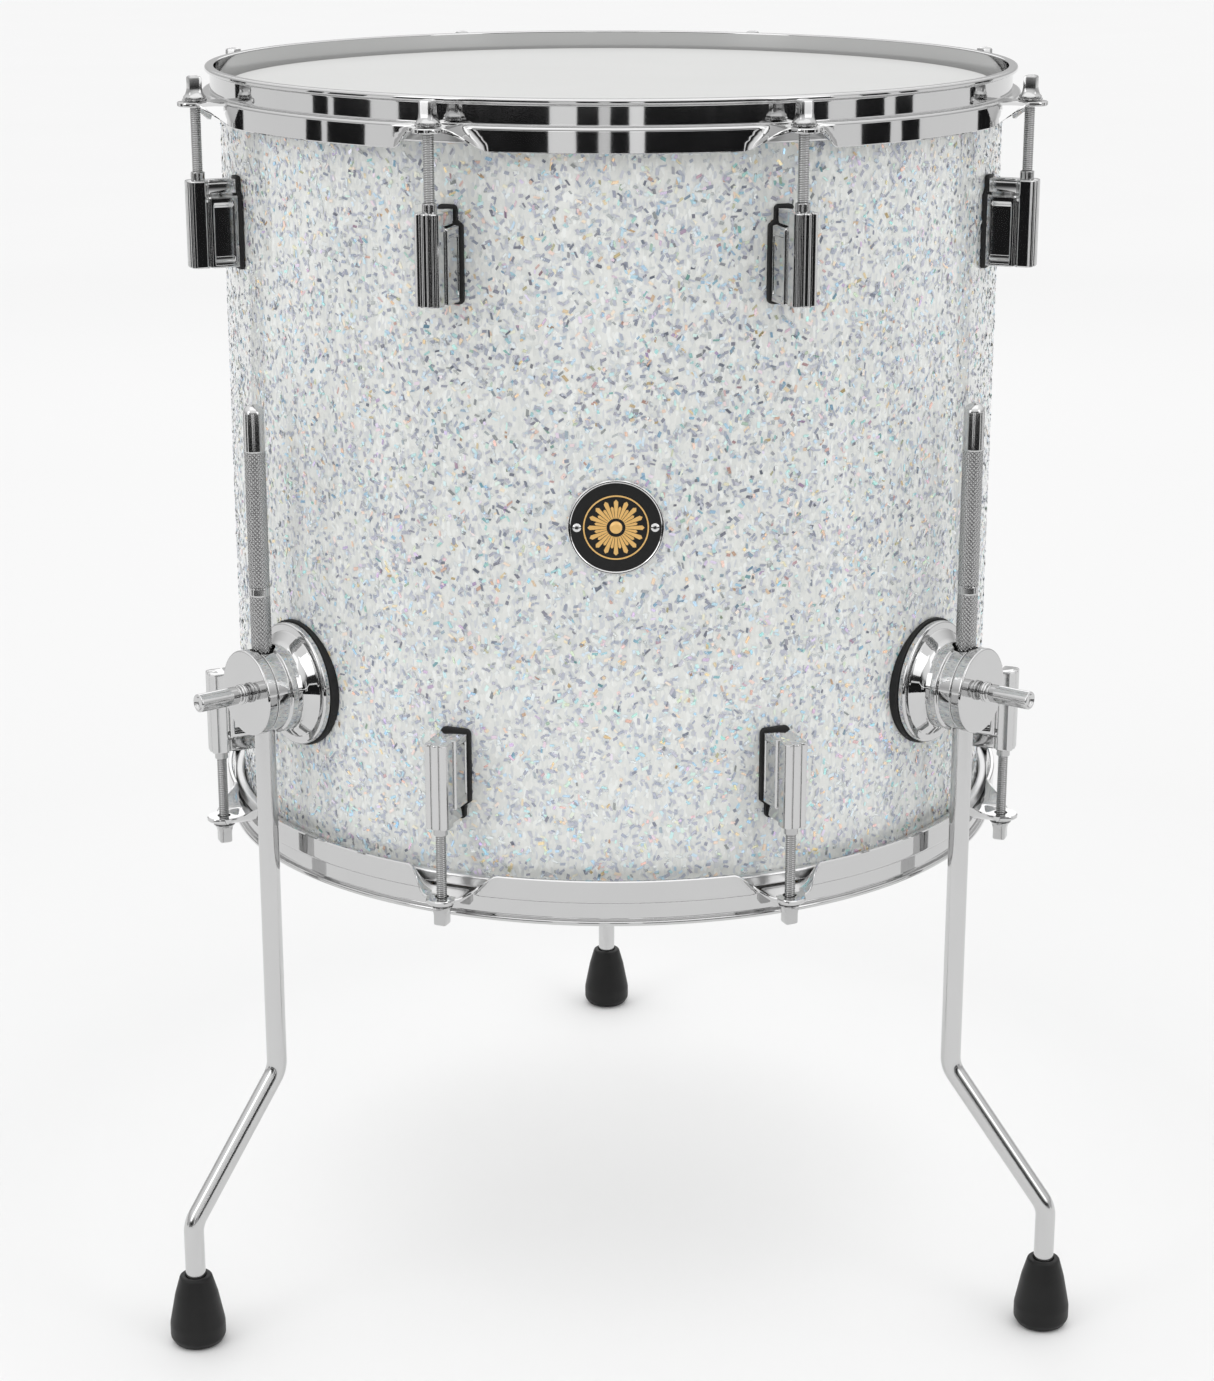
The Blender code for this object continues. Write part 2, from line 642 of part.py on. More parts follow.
def leg_curve():
    """A straight rod with a rounded top and two bends. Local -Y is outward and the origin is on its axis."""
    slope = math.atan2(LEG_OFFSET, LEG_BEND_TOP_Z - LEG_BEND_BOTTOM_Z)
    route = []
    for k in range(LEG_TIP_STEPS + 1):
        angle = math.pi / 2 * (1 - k / LEG_TIP_STEPS)
        share = max(math.cos(angle), LEG_TIP_SHARE)
        route.append((0, LEG_TOP_Z - LEG_RADIUS * (1 - math.sin(angle)), share))
    route += [(x, z, 1) for x, z in bend_points(0, LEG_BEND_TOP_Z, 0, slope)]
    route += [(x, z, 1) for x, z in bend_points(LEG_OFFSET, LEG_BEND_BOTTOM_Z, slope, 0)]
    route.append((LEG_OFFSET, FOOT_TIP_Z, 1))
    curve = bpy.data.curves.new("leg", "CURVE")
    curve.dimensions = "3D"
    curve.bevel_depth = LEG_RADIUS
    curve.bevel_resolution = 4
    curve.use_fill_caps = True
    spline = curve.splines.new("POLY")
    spline.points.add(len(route) - 1)
    for point, (outward, height, share) in zip(spline.points, route):
        point.co = (0, -outward, height, 1)
        point.radius = share
    return curve


def foot_mesh():
    """A bell of rubber with a pocket for the leg and a small flat to stand on."""
    pocket = LEG_RADIUS + GAP
    quarters = [math.pi / 2 * k / FOOT_STEPS for k in range(FOOT_STEPS + 1)]
    top, wide, rest = FOOT_TOP_RADIUS, FOOT_RADIUS, FOOT_REST_RADIUS
    drops = [blend(FOOT_HEIGHT, FOOT_WIDEST_Z, a / quarters[-1]) for a in quarters]
    bell = [(blend(top, wide, math.sin(a)), drop) for a, drop in zip(quarters, drops)]
    sole = [(blend(rest, wide, math.cos(a)), FOOT_WIDEST_Z * (1 - math.sin(a))) for a in quarters[1:]]
    profile = [(0, FOOT_FLOOR), (pocket, FOOT_FLOOR), (pocket, FOOT_HEIGHT)] + bell + sole + [(0, 0)]
    return turned("foot", profile, 16, closed=False)


def make_legs():
    bracket, gasket, bush, screw = bracket_mesh(), gasket_mesh(), bush_mesh(), screw_mesh()
    pad = cylinder(PAD_RADIUS, PAD_BACK_RADIUS, PAD_FRONT_RADIUS, steps=16)
    leg, foot = leg_curve(), foot_mesh()
    bracket_chrome = finish("bracket_chrome", CHROME, 0.05, 1.0)
    gasket_rubber = finish("gasket_rubber", RUBBER, 0.7)
    bush_nylon = finish("bush_nylon", (0.05, 0.05, 0.052), 0.5)
    pad_steel = finish("pad_steel", (0.6, 0.6, 0.61), 0.3, 1.0)
    screw_chrome = finish("screw_chrome", CHROME, 0.08, 1.0)
    leg_chrome = finish("leg_chrome", CHROME, 0.1, 1.0)
    foot_rubber = finish("foot_rubber", RUBBER, 0.55)
    for side, angle in LEG_ANGLES.items():
        level = (0, 0, BRACKET_AXIS_Z)
        place(f"bracket_{side}", bracket, bracket_chrome, level, facing(angle))
        place(f"gasket_{side}", gasket, gasket_rubber, level, facing(angle))
        place(f"clamp_pad_{side}", pad, pad_steel, level, facing(angle))
        place(f"clamp_screw_{side}", screw, screw_chrome, level, facing(angle))
        turn = (0, 0, angle + LEG_SWIVELS[side])
        axis = on_circle(LEG_AXIS_RADIUS, angle, 0)
        place(f"bush_{side}", bush, bush_nylon, (axis[0], axis[1], BRACKET_AXIS_Z), turn)
        place(f"leg_{side}", leg, leg_chrome, axis, turn)
        x, y = foot_centre(side)
        place(f"foot_{side}", foot, foot_rubber, (x, y, 0), turn)


# ---- badge -------------------------------------------------------------------------------

def make_badge():
    """A round plate whose back is hollowed to the shell's curve, at the middle of the front."""
    front = SHELL_RADIUS + GAP + BADGE_THICKNESS
    sink = SHELL_RADIUS - math.sqrt(SHELL_RADIUS ** 2 - BADGE_RADIUS ** 2)
    disc = cylinder(BADGE_RADIUS, front - BADGE_THICKNESS - 2 * sink, front, steps=32)
    shell = cylinder(SHELL_RADIUS + GAP, -2 * BADGE_RADIUS, 2 * BADGE_RADIUS, steps=4 * RING_STEPS)
    mesh = cut(disc, (shell, along_up(0)))
    enamel = finish("badge_black", (0.012, 0.012, 0.013), 0.2)
    place("badge", mesh, enamel, (0, 0, SHELL_MIDDLE_Z), facing(0))


make_shell()
make_wrap()
make_heads()
make_hoops()
make_lugs_and_rods()
make_legs()
make_badge()
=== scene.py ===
# %% [markdown]
# # A glitter-wrapped floor tom
# A floor tom is a wooden tube with a plastic head pulled over each end by a steel hoop. Here the
# working model of it, with its real sizes and joints, is loaded first. Everything below is built
# round that model, so each piece takes its place from the model's own nodes and joints.

# %% Load the working model
import json
import math

import bmesh
import bpy
import numpy as np
from mathutils import Euler, Matrix, Vector


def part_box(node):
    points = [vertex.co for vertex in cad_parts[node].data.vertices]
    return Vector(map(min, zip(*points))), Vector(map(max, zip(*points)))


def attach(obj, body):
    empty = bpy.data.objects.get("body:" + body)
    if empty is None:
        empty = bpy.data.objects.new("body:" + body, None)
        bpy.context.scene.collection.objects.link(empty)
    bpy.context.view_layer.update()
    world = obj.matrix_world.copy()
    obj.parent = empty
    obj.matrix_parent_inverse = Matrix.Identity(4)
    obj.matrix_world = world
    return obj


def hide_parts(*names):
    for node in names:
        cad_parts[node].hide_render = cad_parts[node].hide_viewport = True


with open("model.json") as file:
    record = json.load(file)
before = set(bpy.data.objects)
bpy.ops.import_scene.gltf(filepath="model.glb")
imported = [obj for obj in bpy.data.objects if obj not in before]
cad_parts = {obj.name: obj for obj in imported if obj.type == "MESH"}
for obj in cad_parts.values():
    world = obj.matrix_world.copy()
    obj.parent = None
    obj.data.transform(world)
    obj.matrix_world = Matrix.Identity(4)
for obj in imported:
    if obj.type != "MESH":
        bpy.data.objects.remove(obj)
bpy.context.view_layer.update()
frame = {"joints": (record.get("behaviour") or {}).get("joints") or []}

# %% [markdown]
# ## Measures
# A drum is laid out about one upright axis, so most places are a radius, an angle and a height.
# The angle starts at the badge and grows towards the right hand of a person facing it. The axis
# and the main sizes are read from the model. Only what the model doesn't hold, such as the width
# of a groove, is named here.

# %% Main sizes from the model
def middle(node):
    low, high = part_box(node)
    return (low + high) / 2


def span(node):
    low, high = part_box(node)
    return high - low


def joint_at(name):
    return Vector(JOINTS[name]["pos_m"])


def angle_of(point):
    return math.atan2(point[0] - AXIS.x, AXIS.y - point[1])


GAP = 0.0003
GUARD = 0.00025
AXIS = middle("wrap")
RADIUS = span("wrap").x / 2
WRAP_LOW, WRAP_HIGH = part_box("wrap")[0].z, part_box("wrap")[1].z
TOP_RIM, BOTTOM_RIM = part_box("top_hoop")[1].z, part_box("bottom_hoop")[0].z
JOINTS = {joint["name"]: joint for joint in frame["joints"]}
SIDES = ("left", "right", "back")
LUGS = range(1, 9)
LUG_ANGLES = [angle_of(joint_at(f"top_rod_{n}_turn")) for n in LUGS]
ROD_CIRCLE = (joint_at("top_rod_1_turn").xy - AXIS.xy).length
print(f"shell {2000 * RADIUS:.1f} mm across, rods on a {2000 * ROD_CIRCLE:.1f} mm circle")

# %% [markdown]
# ## Placing a piece
# Most fittings are drawn flat on the bench: across is X, up is Y, and away from the shell is Z.
# One matrix then stands such a piece up at its angle round the drum. It is applied to the mesh
# and not to the object, so that every finished object stays at the origin and a pattern that
# reads Object coordinates doesn't slide.

# %% Matrices that place a piece
def about_axis(height=0.0):
    return Matrix.Translation((AXIS.x, AXIS.y, height))


def outward(angle, height):
    return about_axis(height) @ Euler((math.pi / 2, 0, angle)).to_matrix().to_4x4()


def upside_down(height):
    return about_axis(height) @ Matrix.Rotation(math.pi, 4, "X")


def on_axis(point, turn=0.0):
    return Matrix.Translation(point) @ Matrix.Rotation(turn, 4, "Z")


def along_y(radius):
    """Stands a shape turned about Z along Y instead, at this distance from the drum's axis."""
    return Matrix.Translation((0, 0, radius)) @ Matrix.Rotation(-math.pi / 2, 4, "X")


badge_place = outward(0.0, middle("badge").z) @ Vector((0, 0, RADIUS))
print("the badge's place on the shell:", [round(v, 4) for v in badge_place])

# %% [markdown]
# ## Making a mesh
# Turned and lofted metal is the same thing to a mesh: rows of points, each joined to the next.
# A single function joins the rows and closes the ends. A second one merges doubled points, turns
# every face outward and keeps an edge sharp where two faces meet at more than the crease angle.

# %% Rows joined into a mesh
CREASE = 38
MERGE = 1e-7
SQUASHED = 1e-8


def tidy(mesh, crease=CREASE, poles=False):
    """Merges, turns outward and shades. With poles, faces that a pole has squashed go too."""
    work = bmesh.new()
    work.from_mesh(mesh)
    bmesh.ops.remove_doubles(work, verts=work.verts, dist=MERGE)
    if poles:
        bmesh.ops.dissolve_degenerate(work, edges=work.edges, dist=SQUASHED)
    bmesh.ops.recalc_face_normals(work, faces=work.faces)
    work.to_mesh(mesh)
    work.free()
    mesh.shade_smooth()
    mesh.set_sharp_from_angle(angle=math.radians(crease))
    return mesh


def joined(name, rows, loop=False, crease=CREASE):
    """Joins each closed row of points to the next, and with loop the last row to the first."""
    count = len(rows[0])
    faces = []
    following = list(range(1, len(rows))) + ([0] if loop else [])
    for a, b in enumerate(following):
        for k in range(count):
            j = (k + 1) % count
            faces.append((a * count + k, b * count + k, b * count + j, a * count + j))
    if not loop:
        faces.append(tuple(range(count)))
        faces.append(tuple((len(rows) - 1) * count + k for k in reversed(range(count))))
    mesh = bpy.data.meshes.new(name)
    mesh.from_pydata([tuple(p) for row in rows for p in row], [], faces)
    return tidy(mesh, crease)


prism = joined("prism", [[(0, 0, z), (1, 0, z), (0, 1, z)] for z in (0, 1)])
print("a three-sided prism has", len(prism.polygons), "faces")

# %% [markdown]
# ### Rounded corners
# Corners of real pressed steel are never sharp, and each rounded one catches a thin highlight. So
# outlines are drawn as corners with a radius, and a function turns each corner into an arc. Smooth
# shading averages the faces round a point, which would make the flats beside an arc look bent. A
# guard point just outside each end of the arc keeps them flat.

# %% Outlines with rounded corners
def eased(corners, steps=5, closed=True):
    """An outline of (x, y, radius) corners, with each corner turned into an arc."""
    points = []
    for i, (x, y, radius) in enumerate(corners):
        here = Vector((x, y))
        if radius == 0 or (not closed and i in (0, len(corners) - 1)):
            points.append((x, y))
            continue
        back = Vector(corners[i - 1][:2]) - here
        ahead = Vector(corners[(i + 1) % len(corners)][:2]) - here
        half = back.angle(ahead) / 2
        run = min(radius / math.tan(half), 0.48 * back.length, 0.48 * ahead.length)
        centre = here + (back.normalized() + ahead.normalized()).normalized() * run / math.cos(half)
        start = here + back.normalized() * run - centre
        stop = here + ahead.normalized() * run - centre
        sweep = math.pi - 2 * half
        guards = [min(GUARD, 0.4 * (0.5 * side.length - run)) for side in (back, ahead)]
        points.append(tuple(here + back.normalized() * (run + guards[0])))
        for k in range(steps + 1):
            near, far = math.sin((1 - k / steps) * sweep), math.sin(k / steps * sweep)
            points.append(tuple(centre + (start * near + stop * far) / math.sin(sweep)))
        points.append(tuple(here + ahead.normalized() * (run + guards[1])))
    return points


rounded = eased([(0, 0, 0.1), (1, 0, 0.1), (1, 1, 0.1), (0, 1, 0.1)])
print("a square with rounded corners has", len(rounded), "points")

# %% [markdown]
# ### Turned shapes
# Shells, hoops, brackets, screws and feet are all turned on a lathe, and so they are here: a
# profile goes round the Z axis in even steps. A profile that ends on the axis closes at a pole.
# A closed profile is the section of a ring, and needs no poles.

# %% Turning a profile
def turned(name, profile, steps=96, closed=False):
    """Turns (radius, height) points about Z. A closed profile is the section of a ring."""
    rows = []
    for k in range(steps):
        angle = math.tau * k / steps
        rows.append([(r * math.cos(angle), r * math.sin(angle), z) for r, z in profile])
    if closed:
        return joined(name, rows, loop=True)
    count = len(profile)
    faces = []
    for a in range(steps):
        here, there = a * count, (a + 1) % steps * count
        faces += [(here + k, here + k + 1, there + k + 1, there + k) for k in range(count - 1)]
    mesh = bpy.data.meshes.new(name)
    mesh.from_pydata([p for row in rows for p in row], [], faces)
    return tidy(mesh, poles=True)


cone = turned("cone", [(0, 1), (1, 0), (0, 0)], 24)
print("a turned cone has", len(cone.polygons), "faces")

# %% [markdown]
# ## Cutting, moving and handing over
# Bores are drilled after turning, as in a workshop: a Boolean takes a plain cylinder away from
# the blank, and the modified object is then kept as a plain mesh. The last helper hands a
# finished mesh over to the model. It says which body the piece rides on and which of the model's
# nodes it stands for.

# %% Cutting, moving and finished pieces
def bare(name, mesh):
    made = bpy.data.objects.new(name, mesh)
    bpy.context.scene.collection.objects.link(made)
    return made


def as_mesh(source):
    """The evaluated object as a plain mesh. The object goes."""
    bpy.context.view_layer.update()
    evaluated = source.evaluated_get(bpy.context.evaluated_depsgraph_get())
    mesh = bpy.data.meshes.new_from_object(evaluated)
    bpy.data.objects.remove(source, do_unlink=True)
    return mesh


def cut(mesh, *tools, crease=CREASE):
    """The mesh less each tool mesh."""
    blank = bare("blank", mesh)
    helpers = [bare("tool", tool) for tool in tools]
    for helper in helpers:
        boolean = blank.modifiers.new("cut", "BOOLEAN")
        boolean.operation = "DIFFERENCE"
        boolean.object = helper
    result = as_mesh(blank)
    for helper in helpers:
        bpy.data.objects.remove(helper, do_unlink=True)
    return tidy(result, crease)


def moved(mesh, matrix):
    copy = mesh.copy()
    copy.transform(matrix)
    return copy


def drill(radius, low, high, matrix=Matrix(), steps=32):
    """A plain cylinder between two heights, to cut with."""
    return moved(turned("drill", [(0, high), (radius, high), (radius, low), (0, low)], steps), matrix)


def shell_drill():
    """A cylinder just wider than the shell, which hollows whatever lies against it."""
    reach = 0.05
    return drill(RADIUS + GAP, -reach, reach, along_y(0), 720)


def piece(name, mesh, finish, body, slot, *nodes):
    """A finished piece: its own object at the origin, on its body, standing for its nodes."""
    made = bare(name, mesh)
    if finish and not mesh.materials:
        mesh.materials.append(finish)
    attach(made, body)
    if nodes:
        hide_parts(*nodes)
    return made


print("a drilled cone has", len(cut(cone, drill(0.2, -1, 2)).polygons), "faces")

# %% [markdown]
# ## Nodes written as arithmetic
# A material or a Geometry Nodes tree is a small program, and a formula in it is easier to read as
# a formula. `Wire` wraps an output socket, and each operator on it adds the Math node that does
# that sum. The reflected operators make `1.0 - mask` work as well as `mask - 1.0`.

# %% Wire
class Wire:
    """An output socket that works in Python arithmetic."""

    def __init__(self, board, socket):
        self.board = board
        self.socket = socket

    def out(self, name):
        return Wire(self.board, self.socket.node.outputs[name])

    def __add__(self, other):
        return self.board.math("ADD", self, other)

    def __radd__(self, other):
        return self.board.math("ADD", other, self)

    def __sub__(self, other):
        return self.board.math("SUBTRACT", self, other)

    def __rsub__(self, other):
        return self.board.math("SUBTRACT", other, self)

    def __mul__(self, other):
        return self.board.math("MULTIPLY", self, other)

    def __rmul__(self, other):
        return self.board.math("MULTIPLY", other, self)

    def __truediv__(self, other):
        return self.board.math("DIVIDE", self, other)

    def __rtruediv__(self, other):
        return self.board.math("DIVIDE", other, self)

    def __gt__(self, other):
        return self.board.math("GREATER_THAN", self, other)

    def __lt__(self, other):
        return self.board.math("LESS_THAN", self, other)


print("operators ready: + - * / > <")

# %% [markdown]
# ### Every other node
# `Board` adds every other kind of node through one method. It sets the node's own settings first,
# because some of them change which sockets the node has. Then each socket gets its value or link.

# %% Board
class Board:
    """One node tree and the ways to add to it."""

    def __init__(self, tree):
        self.tree = tree

    def node(self, kind, settings=None, sockets=None, output=0):
        made = self.tree.nodes.new(kind)
        for name, value in (settings or {}).items():
            if name == "stops":
                self.set_stops(made.color_ramp, value)
            else:
                setattr(made, name, value)
        for key, value in (sockets or {}).items():
            if isinstance(value, Wire):
                self.tree.links.new(value.socket, made.inputs[key])
            else:
                made.inputs[key].default_value = value
        return Wire(self, made.outputs[output]) if output is not None else None

    @staticmethod
    def set_stops(ramp, stops):
        while len(ramp.elements) < len(stops):
            ramp.elements.new(0.5)
        for element, (place, colour) in zip(ramp.elements, stops):
            element.position = place
            element.color = (*colour, 1.0)

    def math(self, operation, *values):
        return self.node("ShaderNodeMath", {"operation": operation}, dict(enumerate(values)))

    def xyz(self, vector):
        parts = self.node("ShaderNodeSeparateXYZ", sockets={0: vector})
        return parts, parts.out("Y"), parts.out("Z")

    def combine(self, x, y, z):
        return self.node("ShaderNodeCombineXYZ", sockets={0: x, 1: y, 2: z})


print("board methods:", [name for name in vars(Board) if not name.startswith("_")])

# %% [markdown]
# ## Surfaces
# Each finish is one function. They all start from a Principled shader: what is the same all over
# is set on the shader's own sockets, and what varies over the surface is linked to it. Patterns
# read Object coordinates, in metres, so their scales are real sizes.

# %% What every finish shares
def colour(grey):
    return (grey, grey, grey)


class Finish(Board):
    """A Principled material and the patterns that feed it."""

    def __init__(self, name, **constants):
        self.material = bpy.data.materials.new(name)
        self.material.use_nodes = True
        super().__init__(self.material.node_tree)
        self.shader = self.tree.nodes["Principled BSDF"]
        for socket, value in constants.items():
            self.shader.inputs[socket.replace("_", " ")].default_value = value
        self.place = self.node("ShaderNodeTexCoord", output=3)

    def noise(self, scale, detail=2.0, place=None):
        sockets = {"Vector": place or self.place, "Scale": scale, "Detail": detail}
        return self.node("ShaderNodeTexNoise", sockets=sockets)

    def cells(self, scale, place):
        sockets = {"Vector": place, "Scale": scale}
        return self.node("ShaderNodeTexVoronoi", sockets=sockets, output="Color")

    def stretched(self, scale, turn=(0, 0, 0)):
        sockets = {0: self.place, "Rotation": turn, "Scale": scale}
        return self.node("ShaderNodeMapping", sockets=sockets)

    def stored(self, title):
        """A number that a Geometry Nodes tree left on the mesh."""
        return self.node("ShaderNodeAttribute", {"attribute_name": title}, output=2)

    def ramp(self, factor, *stops):
        return self.node("ShaderNodeValToRGB", {"stops": stops}, {0: factor})

    def mix(self, factor, a, b):
        a, b = [(*v, 1.0) if isinstance(v, tuple) else v for v in (a, b)]
        return self.node("ShaderNodeMix", {"data_type": "RGBA"}, {0: factor, 6: a, 7: b}, output=2)

    def feed(self, **links):
        for socket, wire in links.items():
            self.tree.links.new(wire.socket, self.shader.inputs[socket.replace("_", " ")])
        return self

    def bump(self, height, depth, strength=1.0):
        sockets = {"Height": height, "Distance": depth, "Strength": strength}
        return self.feed(Normal=self.node("ShaderNodeBump", sockets=sockets))


print("pattern methods:", [name for name in vars(Finish) if not name.startswith("_")])

# %% [markdown]
# ### Plated metal
# Chrome on a drum is a mirror with faint clouding, wiping marks and a soft waviness from the
# polishing wheel. A perfectly even mirror looks like a drawing of chrome. So the roughness is
# clouded at two sizes and a very shallow bump bends the reflections a little. The trees that cut
# threads and knurls store how deep each point lies, and there the finish turns dull and its colour
# is painted dark, a painted shade at the bottom of each groove. Where nothing was cut that number
# is nought.

# %% Chrome, steel and aluminium
def plated(name, tone, rough, wave=0.00002):
    f = Finish(name, Metallic=1.0)
    cloud = f.noise(35.0, 3.0)
    wiping = f.noise(260.0, 2.0, f.stretched((1.0, 1.0, 0.15)))
    groove = f.stored("groove")
    bright = f.mix(cloud, colour(tone * 0.95), colour(tone))
    # Painted shade: the colour goes almost black at the bottom of thread and knurl grooves.
    f.feed(Base_Color=f.mix(0.9 * groove * groove, bright, colour(0.05)))
    f.feed(Roughness=rough + 0.05 * cloud * wiping + 0.2 * groove)
    return f.bump(f.noise(55.0, 1.0), wave).material


HOOP_CHROME = plated("hoop_chrome", 0.60, 0.035)
LUG_CHROME = plated("lug_chrome", 0.62, 0.05)
ROD_STEEL = plated("rod_steel", 0.52, 0.12)
BRACKET_CHROME = plated("bracket_chrome", 0.62, 0.03)
SCREW_CHROME = plated("screw_chrome", 0.62, 0.06)
LEG_CHROME = plated("leg_chrome", 0.62, 0.13)
PAD_STEEL = plated("pad_steel", 0.55, 0.28, 0.00005)
FLESH_METAL = plated("flesh_hoop_aluminium", 0.72, 0.3, 0.00004)
RIM_METAL = plated("badge_rim", 0.74, 0.08)
print("hoops, legs and badge rim:", HOOP_CHROME.name, LEG_CHROME.name, RIM_METAL.name)

# %% [markdown]
# ### Rubber, nylon and enamel
# Moulded rubber is nearly black, with a bloom of paler grey where it is handled and a fine grain
# from the mould. The badge's enamel is black too, but glassy. It gets a clear coat over a base
# with a few dust-fine specks.

# %% Dark finishes
def moulded(name, tone, rough, grain):
    f = Finish(name, Specular_IOR_Level=0.28)
    bloom = f.noise(60.0, 4.0)
    pores = f.noise(1800.0, 2.0)
    f.feed(Base_Color=f.mix(bloom, colour(tone * 0.7), colour(tone * 1.5)))
    f.feed(Roughness=rough - 0.12 * bloom)
    return f.bump(pores, grain).material


def enamel():
    f = Finish("badge_black", Coat_Weight=1.0, Coat_Roughness=0.03)
    specks = f.noise(4000.0, 1.0)
    f.feed(Base_Color=f.ramp(specks, (0.0, colour(0.006)), (0.62, colour(0.008)), (0.8, colour(0.03))))
    f.feed(Roughness=0.25 + 0.1 * f.noise(300.0))
    return f.material


def gold_paint():
    f = Finish("badge_gold", Metallic=0.25, Coat_Weight=0.4)
    f.feed(Base_Color=f.mix(f.noise(700.0), (0.78, 0.46, 0.14), (0.90, 0.58, 0.22)))
    f.feed(Roughness=0.3 + 0.15 * f.noise(900.0))
    return f.material


FOOT_RUBBER = moulded("foot_rubber", 0.008, 0.5, 0.00006)
GASKET_RUBBER = moulded("gasket_rubber", 0.014, 0.62, 0.00004)
BUSH_NYLON = moulded("bush_nylon", 0.03, 0.5, 0.00002)
BADGE_BLACK, GOLD = enamel(), gold_paint()
print("dark finishes:", FOOT_RUBBER.name, GASKET_RUBBER.name, BUSH_NYLON.name, BADGE_BLACK.name)

# %% [markdown]
# ### Coated film and maple
# A coated head is clear film under a sprayed white coat, which is a fine, even sandpaper. The
# grain is only a fraction of a millimetre, so it reads as a soft matt sheen with slight clouds.
# The shell's ply is maple: long pale streaks along the grain, which runs round the drum.

# %% White film and wood
def coated_film():
    f = Finish("coated_head", Sheen_Weight=0.05)
    cloud = f.noise(14.0, 4.0)
    f.feed(Base_Color=f.mix(cloud, (0.53, 0.532, 0.525), (0.56, 0.562, 0.555)))
    f.feed(Roughness=0.52 + 0.16 * f.noise(900.0, 2.0))
    return f.bump(f.noise(2200.0, 3.0), 0.00006).material


def maple():
    f = Finish("maple_shell")
    x, y, z = f.xyz(f.place)
    round_drum = f.math("ARCTAN2", x - AXIS.x, AXIS.y - y) * RADIUS
    along = f.combine(round_drum * 0.06, 0.0, z)
    streak = f.noise(420.0, 4.0, along)
    pore = f.noise(1500.0, 2.0, f.combine(round_drum * 0.03, 0.0, z))
    browns = (0.25, (0.45, 0.29, 0.15)), (0.55, (0.66, 0.47, 0.28)), (0.8, (0.75, 0.58, 0.38))
    base = f.ramp(streak, *browns)
    f.feed(Base_Color=f.mix(pore > 0.62, base, (0.36, 0.22, 0.11)))
    f.feed(Roughness=0.42 + 0.15 * streak)
    return f.bump(pore, 0.00004).material


COATED_FILM, MAPLE = coated_film(), maple()
print("film and wood:", COATED_FILM.name, MAPLE.name)

# %% [markdown]
# ## Geometry Nodes trees
# The same few steps serve every tree here: named inputs for the sizes, nodes in between, and
# Realize Instances and Set Material at the end. A modifier's inputs are set by their identifiers
# before the object is first evaluated. Then the result is kept as a plain mesh and the modifier
# goes, so that nothing live is left on the drum.

# %% Building and running a tree
SOCKET_KINDS = {float: "NodeSocketFloat", int: "NodeSocketInt"}


class Grove(Board):
    """A Geometry Nodes tree with one named input for each size."""

    def __init__(self, name, **sizes):
        tree = bpy.data.node_groups.new(name, "GeometryNodeTree")
        super().__init__(tree)
        self.keys = {}
        tree.interface.new_socket("Geometry", in_out="OUTPUT", socket_type="NodeSocketGeometry")
        tree.interface.new_socket("Geometry", in_out="INPUT", socket_type="NodeSocketGeometry")
        kinds = {title: SOCKET_KINDS[type(default)] for title, default in sizes.items()}
        kinds.update(Pattern="NodeSocketObject", Material="NodeSocketMaterial")
        for title, kind in kinds.items():
            socket = tree.interface.new_socket(title, in_out="INPUT", socket_type=kind)
            self.keys[title] = socket.identifier
            if title in sizes:
                socket.default_value = sizes[title]
        self.given = self.node("NodeGroupInput")

    def size(self, title):
        return self.given.out(title)

    def pattern(self):
        """The shape to copy."""
        return self.node("GeometryNodeObjectInfo", sockets={0: self.size("Pattern")}).out("Geometry")

    def store(self, shape, title, value, domain):
        settings = {"data_type": "FLOAT", "domain": domain}
        sockets = {0: shape, "Name": title, "Value": value}
        return self.node("GeometryNodeStoreNamedAttribute", settings, sockets)

    def stored(self, title):
        return self.node("GeometryNodeInputNamedAttribute", {"data_type": "FLOAT"}, {"Name": title})

    def place(self):
        """x, y, z and the distance from the Z axis of each point."""
        x, y, z = self.xyz(self.node("GeometryNodeInputPosition"))
        return x, y, z, self.math("SQRT", x * x + y * y)

    def moved(self, shape, x, y, z):
        sockets = {"Geometry": shape, "Position": self.combine(x, y, z)}
        return self.node("GeometryNodeSetPosition", sockets=sockets)

    def engraved(self, share, depth):
        """The given shape, cut towards its Z axis by a share of the depth, kept as "groove"."""
        kept = self.store(self.size("Geometry"), "groove", share, "POINT")
        x, y, z, radius = self.place()
        shrink = 1.0 - self.stored("groove") * (depth / radius)
        return self.moved(kept, x * shrink, y * shrink, z)

    def finish(self, shape):
        real = self.node("GeometryNodeRealizeInstances", sockets={0: shape})
        sockets = {0: real, "Material": self.size("Material")}
        dressed = self.node("GeometryNodeSetMaterial", sockets=sockets)
        self.node("NodeGroupOutput", sockets={0: dressed}, output=None)
        return self

    def run(self, name, finish, mesh=None, pattern=None, **sizes):
        """The tree's result, as a plain mesh. Trees that only copy start from an empty mesh."""
        host = bare(name, mesh or bpy.data.meshes.new(name))
        helper = bare("pattern", pattern) if pattern else None
        modifier = host.modifiers.new(name, "NODES")
        modifier.node_group = self.tree
        modifier[self.keys["Material"]] = finish
        if helper:
            modifier[self.keys["Pattern"]] = helper
        for title, value in sizes.items():
            modifier[self.keys[title]] = value
        result = as_mesh(host)
        if helper:
            bpy.data.objects.remove(helper, do_unlink=True)
        return result


print("tree methods:", [name for name in vars(Grove) if not name.startswith("_")])

# %% [markdown]
# ### A ring of copies
# Lugs, gaskets, rod holes and the badge's rays all repeat evenly round an axis. One tree serves
# them all: it makes a point for each copy, works out that copy's angle from its number, and puts
# the same shape on every point, turned by the angle.

